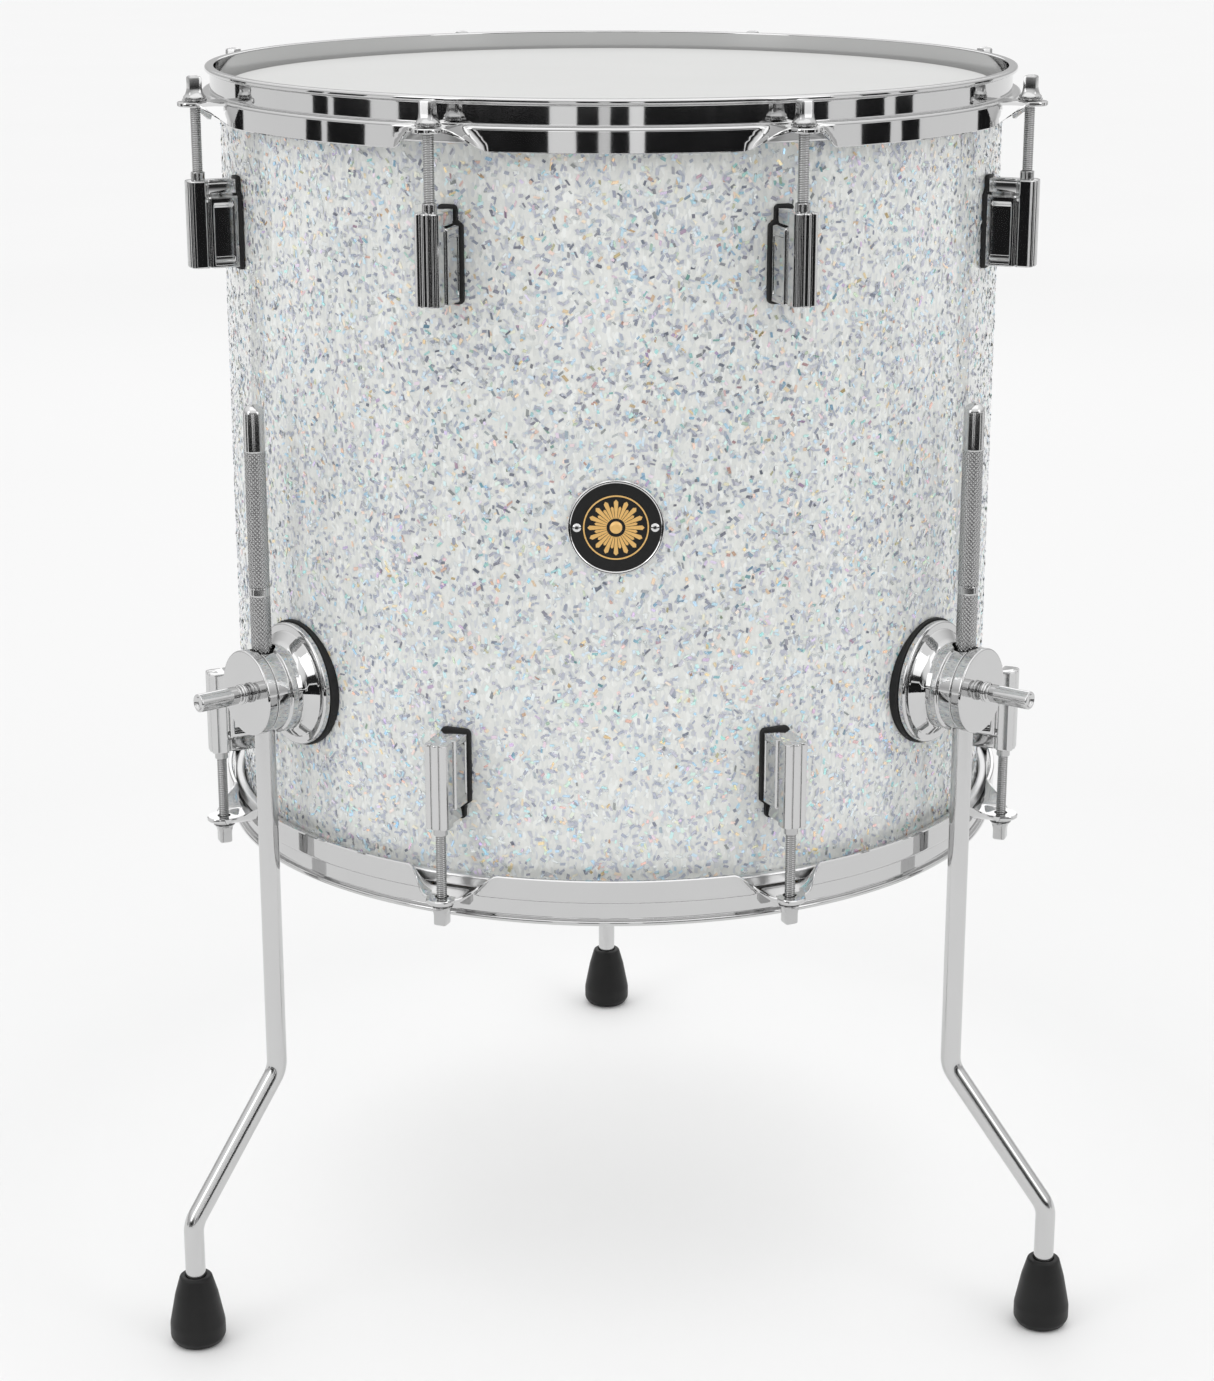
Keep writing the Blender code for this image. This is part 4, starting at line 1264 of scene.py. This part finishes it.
def rod_head():
    """(half width, height, squareness) up the washer, the bell and the square head."""
    bell = ROD_SEAT + WASHER
    washer = [
        (0.0059, ROD_SEAT, 0),
        (0.0062, ROD_SEAT + 0.0003, 0),
        (0.0062, bell - 0.0003, 0),
        (0.0059, bell - 0.0001, 0),
    ]
    flare = [
        (0.0047, bell, 0),
        (0.0047, bell + 0.0002, 0),
        (0.0056, bell + 0.0003, 0),
        (0.0057, bell + 0.0008, 0),
        (0.0052, bell + 0.0014, 0),
        (0.0044, bell + 0.0020, 0.1),
        (0.0038, bell + 0.0030, 0.4),
        (0.0035, bell + 0.0042, 0.8),
    ]
    square = [
        (HEAD_HALF, bell + 0.0052, 1),
        (HEAD_HALF, HEAD_TOP - 0.0012, 1),
        (HEAD_HALF - 0.0002, HEAD_TOP - 0.0006, 1),
        (HEAD_HALF - 0.0007, HEAD_TOP - 0.0002, 1),
        (HEAD_HALF - 0.0014, HEAD_TOP, 1),
    ]
    angles = [math.tau * k / HEAD_SIDES for k in range(HEAD_SIDES)]
    rows = []
    for half, height, share in washer + flare + square:
        reaches = [(a, squared(a, half, share)) for a in angles]
        rows.append([(reach * math.cos(a), reach * math.sin(a), height) for a, reach in reaches])
    return joined("rod_head", rows, crease=30)


def together(name, *meshes):
    work = bmesh.new()
    for mesh in meshes:
        work.from_mesh(mesh)
    mesh = bpy.data.meshes.new(name)
    work.to_mesh(mesh)
    work.free()
    return mesh


def make_rods():
    rod = together("rod", SHAFT, rod_head())
    rod.materials.append(ROD_STEEL)
    for n, angle in zip(LUGS, LUG_ANGLES):
        for end, flip in (("top", Matrix()), ("bottom", Matrix.Rotation(math.pi, 4, "X"))):
            name = f"{end}_rod_{n}"
            mesh = moved(rod, on_axis(joint_at(name + "_turn"), angle) @ flip)
            piece(f"{end}_tension_rod_{n}", mesh, None, name, "rod_steel", name)
    return rod


rod = make_rods()
print("rod faces:", len(rod.polygons))

# %% [markdown]
# ## Leg brackets
# Each leg runs through a turned, plated bracket: a flange on the shell, a hollow flare, a ring, a
# plain drum and a cap with a flat, mirror-like face. Turning it is the natural choice. The bores
# for the leg and for the clamp screw are then drilled, and a rubber disc, hollowed to the shell,
# goes behind it.

# %% Turned bracket
BRACKET_HEIGHT = middle("bracket_left").z
BRACKET_AT = {side: angle_of(joint_at(f"clamp_screw_{side}_turn")) for side in SIDES}
FACE = (joint_at("clamp_screw_left_turn").xy - AXIS.xy).length
LEG_AXIS = {side: joint_at(f"leg_{side}_swivel") for side in SIDES}
LEG_CIRCLE = (LEG_AXIS["left"].xy - AXIS.xy).length
LEG_RADIUS = 0.00525
BUSH_OUTER = LEG_RADIUS + GAP + 0.001
FLANGE_RADIUS = span("bracket_left").z / 2
BRACKET_BACK = RADIUS + GAP + 0.002
SCREW_BORE = 0.0043


def bracket_mesh():
    body, cap, parting = 0.0213, 0.0218, FACE - 0.006
    flare_end = FACE - 0.0184
    front = BRACKET_BACK + 0.0035
    corners = [
        (0, FACE, 0),
        (cap, FACE, 0.0009),
        (cap, parting + 0.0005, 0.0004),
        (body - 0.0008, parting + 0.0005, 0.0001),
        (body - 0.0008, parting - 0.0003, 0.0001),
        (body, parting - 0.0003, 0.0004),
        (body, flare_end + 0.0052, 0.0004),
        (body + 0.0014, flare_end + 0.0045, 0.0006),
        (body + 0.0014, flare_end + 0.0012, 0.0006),
        (body - 0.0001, flare_end + 0.0006, 0.0003),
        (body + 0.0002, front + 0.0046, 0.0065),
        (FLANGE_RADIUS - 0.0046, front + 0.0006, 0.0008),
        (FLANGE_RADIUS - 0.0040, front, 0.0003),
        (FLANGE_RADIUS, front, 0.0013),
        (FLANGE_RADIUS, BRACKET_BACK, 0.0002),
        (0, BRACKET_BACK, 0),
    ]
    blank = turned("bracket", eased(corners, 7, closed=False), 128)
    leg_bore = drill(BUSH_OUTER + GAP, -FLANGE_RADIUS, FLANGE_RADIUS, along_y(LEG_CIRCLE), 48)
    screw_bore = drill(SCREW_BORE, LEG_CIRCLE, FACE + 0.001, steps=40)
    return cut(blank, leg_bore, screw_bore)


BRACKET = bracket_mesh()
print("bracket faces:", len(BRACKET.polygons))

# %% [markdown]
# ### Bracket rubber
# The rubber disc behind a bracket is flat in front and follows the shell behind. It is turned
# thick enough to reach round the curve, and the shell's own cylinder is then cut out of it.

# %% Bracket rubber, and a bracket for each leg
def bracket_gasket():
    outer = FLANGE_RADIUS + 0.001
    sink = RADIUS - math.sqrt(RADIUS ** 2 - outer ** 2)
    front, back = BRACKET_BACK - GAP, BRACKET_BACK - GAP - 0.0019 - 2 * sink
    corners = [(0, front, 0), (outer, front, 0.0005), (outer, back, 0), (0, back, 0)]
    return cut(turned("gasket", eased(corners, 4, closed=False), 96), shell_drill())


def make_brackets():
    gasket = bracket_gasket()
    for side in SIDES:
        place = outward(BRACKET_AT[side], BRACKET_HEIGHT)
        for name, mesh, finish, slot, node in (
            (f"bracket_{side}_casting", BRACKET, BRACKET_CHROME, "bracket_chrome", f"bracket_{side}"),
            (f"bracket_{side}_rubber", gasket, GASKET_RUBBER, "gasket_rubber", f"gasket_{side}"),
        ):
            piece(name, moved(mesh, place), finish, "drum", slot, node)
    return gasket


print("bracket rubber faces:", len(make_brackets().polygons))

# %% [markdown]
# ## Bushes, pads and clamp screws
# A nylon bush lines the bore, so that the leg can be turned and slid without scoring its chrome.
# A steel pad rides on the screw's tip and presses the bush. The screw has a bead at its neck and
# a plain round handle that points straight out.

# %% Bush, pad and screw
PAD_FRONT = FACE - 0.00205 - GAP
PAD_THICKNESS = 0.0012
SCREW_LENGTH = 0.0278


def bush_mesh():
    half = span("bush_left").z / 2
    inner = LEG_RADIUS + GAP
    corners = [
        (BUSH_OUTER, half, 0.0003),
        (BUSH_OUTER, -half, 0.0003),
        (inner, -half, 0.0003),
        (inner, half, 0.0003),
    ]
    return turned("bush", eased(corners, 3), 64, closed=True)


def pad_mesh():
    radius, low = 0.004, PAD_FRONT - PAD_THICKNESS
    corners = [(0, PAD_FRONT, 0), (radius, PAD_FRONT, 0.0003), (radius, low, 0.0003), (0, low, 0)]
    return turned("pad", eased(corners, 3, closed=False), 40)


def screw_mesh():
    """From the hollowed end of the handle, over the bead at the neck, to the tip on the pad."""
    face, tip, end = FACE + GAP, PAD_FRONT + GAP, FACE + SCREW_LENGTH
    corners = [
        (0, end - 0.0016, 0),
        (0.0026, end - 0.0014, 0.0008),
        (0.0036, end, 0.0005),
        (0.0046, end, 0.0007),
        (0.0046, face + 0.0056, 0.0008),
        (0.0034, face + 0.0049, 0.0004),
        (0.0034, face + 0.0041, 0.0004),
        (0.0051, face + 0.0036, 0.0007),
        (0.0051, face + 0.0026, 0.0006),
        (0.0043, face + 0.0024, 0.0002),
        (0.0051, face + 0.0022, 0.0006),
        (0.0051, face + 0.0010, 0.0007),
        (0.0037, face + 0.0006, 0.0003),
        (0.0037, face, 0),
        (0.0040, face - 0.0002, 0),
        (0.0040, tip, 0.0003),
        (0, tip, 0),
    ]
    return turned("screw", eased(corners, 4, closed=False), 56)


def make_clamps():
    bush, pad, screw = bush_mesh(), pad_mesh(), screw_mesh()
    for side in SIDES:
        place = outward(BRACKET_AT[side], BRACKET_HEIGHT)
        upright = on_axis((*LEG_AXIS[side].xy, BRACKET_HEIGHT))
        for name, mesh, matrix, finish, node, slot in (
            (f"bush_{side}_sleeve", bush, upright, BUSH_NYLON, f"bush_{side}", "bush_nylon"),
            (f"clamp_{side}_pad", pad, place, PAD_STEEL, f"clamp_pad_{side}", "pad_steel"),
            (f"clamp_{side}_screw", screw, place, SCREW_CHROME, f"clamp_screw_{side}", "screw_chrome"),
        ):
            piece(name, moved(mesh, matrix), finish, node, slot, node)
    return screw


print("clamp screw faces:", len(make_clamps().polygons))

# %% [markdown]
# ## Legs
# A leg is one bright bar with a rounded top and two bends that carry its foot outward, so that
# the drum stands firm. Above the bracket it is knurled in crossing spirals so that the clamp
# bites. The bar is swept along its route row by row, each row square to the bar, so that the bends
# keep its full thickness. The rows stand close together along the knurl and far apart below it.

# %% Route of a leg, and its bar
LEG_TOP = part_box("leg_left")[1].z
BEND_TOP, BEND_BOTTOM = 0.141, 0.068
FOOT_OFFSET = 0.0543
BEND_RADIUS = 0.016
CROWN = 0.0045
FOOT_POCKET = 0.0123
KNURL_LOW, KNURL_HIGH = BRACKET_HEIGHT + 0.004, LEG_TOP - 0.0235
KNURL_ROWS = 300
BAR_STEPS = 96


def bend(corner, before, after, steps=10):
    """(outward, height, heading) round a bend. A heading is an angle from straight down."""
    turn = after - before
    side = math.copysign(1, turn)
    run = BEND_RADIUS * math.tan(abs(turn) / 2)
    start = Vector((corner[0] - run * math.sin(before), corner[1] + run * math.cos(before)))
    centre = start + side * BEND_RADIUS * Vector((math.cos(before), math.sin(before)))
    points = []
    for k in range(steps + 1):
        heading = before + turn * k / steps
        point = centre - side * BEND_RADIUS * Vector((math.cos(heading), math.sin(heading)))
        points.append((point.x, point.y, heading))
    return points


def leg_route():
    """(outward, height, heading, share of the bar's radius) from the rounded top to the foot."""
    route = []
    for k in range(9):
        angle = math.pi / 2 * (1 - k / 8)
        height = LEG_TOP - CROWN * (1 - math.sin(angle))
        route.append((0, height, 0, max(math.cos(angle), 0.02)))
    start, stop = KNURL_HIGH + 0.001, KNURL_LOW - 0.001
    route += [(0, start - (start - stop) * k / KNURL_ROWS, 0, 1) for k in range(KNURL_ROWS + 1)]
    slope = math.atan2(FOOT_OFFSET, BEND_TOP - BEND_BOTTOM)
    route += [(*point, 1) for point in bend((0, BEND_TOP), 0, slope)]
    route += [(*point, 1) for point in bend((FOOT_OFFSET, BEND_BOTTOM), slope, 0)]
    route.append((FOOT_OFFSET, FOOT_POCKET, 0, 1))
    return route


def leg_bar():
    """Drawn with the bar's axis on Z and its foot towards -Y."""
    rows = []
    for out, height, heading, share in leg_route():
        row = []
        for k in range(BAR_STEPS):
            angle = math.tau * k / BAR_STEPS
            across = LEG_RADIUS * share * math.sin(angle)
            reach = LEG_RADIUS * share * math.cos(angle)
            row.append((across, -(out + reach * math.cos(heading)), height + reach * math.sin(heading)))
        rows.append(row)
    return joined("leg", rows, crease=50)


print("leg rows:", len(leg_route()), "each of", BAR_STEPS, "points")

# %% [markdown]
# ### Knurl
# A knurl is rolled into the bar by two wheels that leave opposed spirals. The tree does the same:
# each spiral is a triangle wave in the angle and the height, and the deeper one counts at each
# point. Squaring it leaves more of the bar's full width between the cuts. A narrow band is left
# smooth, as on the real leg.

# %% Knurl tree, and the legs
BAND_MIDDLE, BAND_HALF = BRACKET_HEIGHT + 0.0515, 0.002
KNURL_STARTS, KNURL_PITCH, KNURL_DEPTH = 16, 0.034, 0.00042


def knurl_tree():
    g = Grove(
        "crossed_knurl", Low=0.0, High=1.0, BandMiddle=0.5, BandHalf=0.01, Starts=20, Pitch=0.03,
        Depth=0.0003,
    )
    x, y, z, radius = g.place()
    turn = g.math("ARCTAN2", y, x) / math.tau * g.size("Starts")
    climb = z / g.size("Pitch") * g.size("Starts")

    def spiral(phase):
        return g.math("ABSOLUTE", 2.0 * g.math("FRACT", phase) - 1.0)

    deeper = g.math("MAXIMUM", spiral(turn + climb), spiral(turn - climb))
    knurled = (z > g.size("Low")) * (z < g.size("High"))
    off_band = g.math("ABSOLUTE", z - g.size("BandMiddle")) > g.size("BandHalf")
    share = knurled * off_band * g.math("POWER", deeper, 2.0)
    return g.finish(g.engraved(share, g.size("Depth")))


def foot_bearing(side):
    """Angle of this leg's foot from its bar, measured round the drum from the front."""
    foot = middle(f"foot_{side}")
    return math.atan2(foot.x - LEG_AXIS[side].x, LEG_AXIS[side].y - foot.y)


def make_legs():
    bar = knurl_tree().run(
        "leg", LEG_CHROME, leg_bar(), Low=KNURL_LOW, High=KNURL_HIGH, BandMiddle=BAND_MIDDLE,
        BandHalf=BAND_HALF, Starts=KNURL_STARTS, Pitch=KNURL_PITCH, Depth=KNURL_DEPTH,
    )
    for side in SIDES:
        mesh = moved(bar, on_axis((*LEG_AXIS[side].xy, 0), foot_bearing(side)))
        piece(f"leg_{side}_bar", mesh, LEG_CHROME, f"leg_{side}", "leg_chrome", f"leg_{side}")
        print(side, "leg turned", round(math.degrees(foot_bearing(side)), 1), "degrees")
    return bar


print("leg faces:", len(make_legs().polygons))

# %% [markdown]
# ## Feet
# A rubber foot is a bell pushed onto the bar, with a soft shoulder, a slight lip at the top and a
# rounded sole. It is turned, with a pocket left open for the bar.

# %% Rubber feet
def foot_mesh():
    size = span("foot_back")
    high, wide = size.z, size.x / 2
    pocket = LEG_RADIUS + GAP
    corners = [
        (pocket, FOOT_POCKET - GAP, 0),
        (pocket, high, 0.0004),
        (0.0083, high, 0.0016),
        (wide - 0.0032, high - 0.0105, 0.012),
        (wide, 0.0115, 0.012),
        (wide, 0.0042, 0.0035),
        (wide - 0.0021, 0.0006, 0.002),
        (0.0085, 0.0006, 0.0004),
        (0.0085, 0.0, 0.0003),
        (0, 0.0, 0),
    ]
    outline = [(0, FOOT_POCKET - GAP)] + eased(corners, 6, closed=False)
    return turned("foot", outline, 72)


def make_feet():
    foot = foot_mesh()
    for side in SIDES:
        mesh = moved(foot, on_axis((*middle(f"foot_{side}").xy, 0)))
        piece(f"foot_{side}_rubber", mesh, FOOT_RUBBER, f"leg_{side}", "foot_rubber", f"foot_{side}")
    return foot


print("foot faces:", len(make_feet().polygons))

# %% [markdown]
# ## Badge
# The maker's plate is a black enamelled disc in a plated rim. Both are turned, and the shell's
# cylinder is cut out of their backs, so that they sit close against the curve. They are two
# meshes because they are two finishes with a hair's gap between.

# %% Badge disc and rim
BADGE_RADIUS = span("badge").z / 2
BADGE_HEIGHT = middle("badge").z
BADGE_FRONT = RADIUS + GAP + 0.0012
BADGE_FACE = BADGE_FRONT - 0.0004
RIM_INNER = BADGE_RADIUS - 0.0016


def badge_plate():
    sink = RADIUS - math.sqrt(RADIUS ** 2 - BADGE_RADIUS ** 2)
    low = BADGE_FRONT - 0.0012 - 2 * sink
    edge = RIM_INNER - GAP / 6
    disc = [(0, BADGE_FACE, 0), (edge, BADGE_FACE, 0), (edge, low, 0), (0, low, 0)]
    rim = [
        (RIM_INNER, BADGE_FRONT - 0.0003, 0.0002),
        (RIM_INNER + 0.0005, BADGE_FRONT, 0.0002),
        (BADGE_RADIUS - 0.0005, BADGE_FRONT, 0.0003),
        (BADGE_RADIUS, BADGE_FRONT - 0.0006, 0.0003),
        (BADGE_RADIUS, low, 0),
        (RIM_INNER, low, 0),
    ]
    enamelled = cut(turned("badge_face", eased(disc, 3, closed=False)), shell_drill())
    rimmed = cut(turned("badge_rim", eased(rim, 3), closed=True), shell_drill())
    return enamelled, rimmed


ENAMELLED, RIMMED = badge_plate()
print("badge disc faces:", len(ENAMELLED.polygons), "rim faces:", len(RIMMED.polygons))

# %% [markdown]
# ### Gold sunburst
# The artwork is a plain sunburst of raised rays in a ring, with a domed boss in the middle. A long
# and a short ray are drawn once each, and the ring tree repeats them. Raised shapes catch the
# light at their edges, which a flat picture of rays wouldn't do.

# %% Rays, boss and band
RAYS = 32
RAY_START = 0.0045


def ray(outer, half, height):
    """One tapered ray, pointing up from the badge's middle."""
    root, neck = half * 0.4, outer - half
    outline = [(-root, RAY_START), (root, RAY_START), (half, neck), (0, outer), (-half, neck)]
    return joined("ray", [[(x, y, z) for x, y in outline] for z in (BADGE_FACE, BADGE_FACE + height)])


def gold_art():
    rings = []
    for sizes, first in (((0.0136, 0.0011, 0.00035), 0.0), ((0.0104, 0.0007, 0.00025), math.tau / RAYS)):
        copies = RING.run("rays", GOLD, pattern=ray(*sizes), Copies=RAYS // 2, FirstAngle=first)
        rings.append(copies)
    dome = [(0, BADGE_FACE + 0.0009, 0), (0.0019, BADGE_FACE + 0.0007, 0.0008), (0.0030, BADGE_FACE, 0)]
    boss = turned("boss", eased(dome, 5, closed=False) + [(0, BADGE_FACE)], 48)
    outer, inner, top = 0.0157, 0.0150, BADGE_FACE + 0.0003
    hoop = [(outer, BADGE_FACE, 0), (outer, top, 0.0001), (inner, top, 0.0001), (inner, BADGE_FACE, 0)]
    band = turned("band", eased(hoop, 2), closed=True)
    return together("badge_gold", *rings, boss, band)


SUNBURST = gold_art()
print("sunburst faces:", len(SUNBURST.polygons))

# %% [markdown]
# ### Badge screws
# Two small round-headed screws hold the plate. One dome is turned and a six-sided socket is cut in
# it, and it is placed twice. Then all four meshes are stood up on the front of the shell.

# %% Screws, and the badge in place
BADGE_SCREW_AT = 0.0186


def badge_screws():
    low = BADGE_FACE
    head = [
        (0, low + 0.0009, 0),
        (0.0010, low + 0.00085, 0.0006),
        (0.0021, low + 0.0003, 0.0005),
        (0.0021, low, 0),
        (0, low, 0),
    ]
    socket = drill(0.0008, low + 0.0003, low + 0.002, steps=6)
    dome = cut(turned("dome", eased(head, 4, closed=False), 40), socket)
    sides = (-BADGE_SCREW_AT, BADGE_SCREW_AT)
    return together("badge_screws", *[moved(dome, Matrix.Translation((x, 0, 0))) for x in sides])


def make_badge():
    for name, mesh, finish in (
        ("badge_face", ENAMELLED, BADGE_BLACK),
        ("badge_rim", RIMMED, RIM_METAL),
        ("badge_sunburst", SUNBURST, GOLD),
        ("badge_screws", badge_screws(), RIM_METAL),
    ):
        made = moved(mesh, outward(0.0, BADGE_HEIGHT))
        made.materials.clear()
        piece(name, tidy(made), finish, "drum", "badge_black", "badge")


make_badge()
print("badge at", round(BADGE_HEIGHT, 4), "m")

# %% [markdown]
# ## Floor, light and camera
# The floor is a wide pale disc. Polished metal shows whatever stands round it, so dark cards lie
# on the floor beyond the light, which only reflections can see. Those cards put the deep bands in
# the upper hoop, while the lower fittings reflect pale floor. The floor is paler in the drum's
# shade and far out, where the soft boxes don't reach, so that it looks even all over.

# %% Floor and dark cards
FLOOR_RADIUS, FLOOR_THICKNESS = 30.0, 0.02
PAPER_REACH = 8.0
PAPER_TONES = ((0, 0.99), (0.2, 0.96), (0.36, 0.84), (0.8, 0.785), (2.0, 0.80), (3.84, 0.88), (8.0, 0.89))


def paper():
    """The tones are by distance from the drum's middle, in metres."""
    f = Finish("floor_paper", Specular_IOR_Level=0.1)
    length = f.node("ShaderNodeVectorMath", {"operation": "LENGTH"}, {0: f.place}, output="Value")
    stops = [(distance / PAPER_REACH, colour(grey)) for distance, grey in PAPER_TONES]
    tone = f.ramp(length / PAPER_REACH, *stops)
    f.feed(Base_Color=f.mix(0.15 * f.noise(3.0, 2.0), tone, colour(0.8)))
    f.feed(Roughness=0.8 + 0.1 * f.noise(40.0))
    return f.material


def dark_cloth():
    f = Finish("dark_cloth", Specular_IOR_Level=0.0)
    f.feed(Base_Color=f.mix(f.noise(1.2, 1.0), colour(0.004), (0.02, 0.02, 0.021)))
    return f.material


def laid(name, mesh, finish):
    made = bare(name, tidy(mesh))
    mesh.materials.append(finish)
    return made


DARK_SECTORS = ((-60, 60), (-82, -69), (-90, -84), (69, 79), (83, 90), (118, 128), (-131, -120))
DARK_FROM, DARK_TO = 1.5, 8.0
DARK_LIFT = 0.003


def sector_mesh():
    """Flat ring sectors between angles in degrees, measured round the drum from the front."""
    points, faces = [], []
    for first, last in DARK_SECTORS:
        steps = max(2, round((last - first) / 4))
        start = len(points)
        for k in range(steps + 1):
            angle = math.radians(first + (last - first) * k / steps)
            for r in (DARK_FROM, DARK_TO):
                points.append((r * math.sin(angle), -r * math.cos(angle), DARK_LIFT))
        for k in range(start, start + 2 * steps, 2):
            faces.append((k, k + 1, k + 3, k + 2))
    mesh = bpy.data.meshes.new("dark_sectors")
    mesh.from_pydata(points, [], faces)
    return mesh


def make_floor():
    low = -FLOOR_THICKNESS
    slab = turned("floor", [(0, 0), (FLOOR_RADIUS, 0), (FLOOR_RADIUS, low), (0, low)], 128)
    cards = laid("dark_cards", sector_mesh(), dark_cloth())
    cards.visible_camera = False
    cards.visible_diffuse = False
    cards.visible_shadow = False
    laid("floor", slab, paper())
    return cards


print("dark card faces:", len(make_floor().data.polygons))

# %% [markdown]
# ### Soft light
# The lighting is built for the chrome first: a large soft box overhead, one on each side, one
# behind, and three low panels behind the camera that draw thin bright lines down the fittings.
# The room itself is paler towards its ceiling and lights everything softly. It has a dark wall
# low down behind the camera, so that the metal facing the camera has something dark to show.

# %% Lights
def soft_box(name, at, towards, size, watts):
    data = bpy.data.lights.new(name, "AREA")
    data.shape = "RECTANGLE"
    data.size, data.size_y = size
    data.energy = watts
    made = bpy.data.objects.new(name, data)
    made.location = at
    made.rotation_euler = (Vector(towards) - Vector(at)).to_track_quat("-Z", "Y").to_euler()
    bpy.context.scene.collection.objects.link(made)
    return made


ROOM_STRENGTH = 1.18
WALL_DARKNESS = 0.95


def room_light():
    world = bpy.data.worlds.new("studio")
    world.use_nodes = True
    bpy.context.scene.world = world
    board = Board(world.node_tree)
    background = world.node_tree.nodes["Background"]
    x, y, height = board.xyz(board.node("ShaderNodeTexCoord", output=0))
    greys = (0.0, 0.55), (0.10, 0.45), (0.22, 0.58), (0.45, 0.86), (0.8, 1.0)
    stops = [(place, colour(grey)) for place, grey in greys]
    room = board.node("ShaderNodeValToRGB", {"stops": stops}, {0: height})
    low = board.math("MINIMUM", board.math("MAXIMUM", (0.34 - height) * 5.0, 0.0), 1.0)
    behind = board.math("MINIMUM", board.math("MAXIMUM", (-0.45 - y) * 6.0, 0.0), 1.0)
    sockets = {0: room, "Scale": 1.0 - WALL_DARKNESS * low * behind}
    lit = board.node("ShaderNodeVectorMath", {"operation": "SCALE"}, sockets)
    world.node_tree.links.new(lit.socket, background.inputs["Color"])
    background.inputs["Strength"].default_value = ROOM_STRENGTH


AIM = (0.0, 0.0, 0.40)
PANEL_HEIGHT, PANEL_BACK = 0.42, -2.4
soft_box("top_box", (0.0, -0.3, 2.4), AIM, (2.4, 2.0), 7)
soft_box("left_box", (-2.0, -1.7, 1.3), AIM, (0.9, 1.6), 7)
soft_box("right_box", (2.0, -1.7, 1.3), AIM, (0.9, 1.6), 6)
soft_box("back_box", (0.0, 2.6, 1.6), AIM, (1.6, 1.0), 4)
for name, across, wide, watts in (
    ("panel_left", -0.55, 0.30, 0.75),
    ("panel_middle", -0.10, 0.12, 0.24),
    ("panel_right", 0.24, 0.16, 0.42),
):
    at, aim = (across, PANEL_BACK, PANEL_HEIGHT), (across * 0.5, 0.0, PANEL_HEIGHT)
    soft_box(name, at, aim, (wide, 0.8), watts)
room_light()

# %% [markdown]
# ### Camera
# A short telephoto lens from a little above the rim looks down on the head and still sees the
# feet. The drum stands close, so the sides of the shell narrow slightly towards the floor.

# %% Camera
CAMERA_AT = (-0.0212, -1.5813, 0.7775)
CAMERA_DOWN, CAMERA_RIGHT = math.radians(16.92), math.radians(0.64)
LENS = 75.54
LENS_SHIFT = -0.0030


def make_camera():
    data = bpy.data.cameras.new("camera")
    data.sensor_width = 36.0
    data.lens = LENS
    data.shift_x = LENS_SHIFT
    data.shift_y = LENS_SHIFT
    camera = bpy.data.objects.new("camera", data)
    camera.location = CAMERA_AT
    camera.rotation_euler = (math.pi / 2 - CAMERA_DOWN, 0, -CAMERA_RIGHT)
    bpy.context.scene.collection.objects.link(camera)
    bpy.context.scene.camera = camera
    return camera


camera = make_camera()
bpy.context.scene.view_settings.view_transform = "Standard"
print("camera at", [round(v, 3) for v in camera.location], "with a lens of", LENS, "mm")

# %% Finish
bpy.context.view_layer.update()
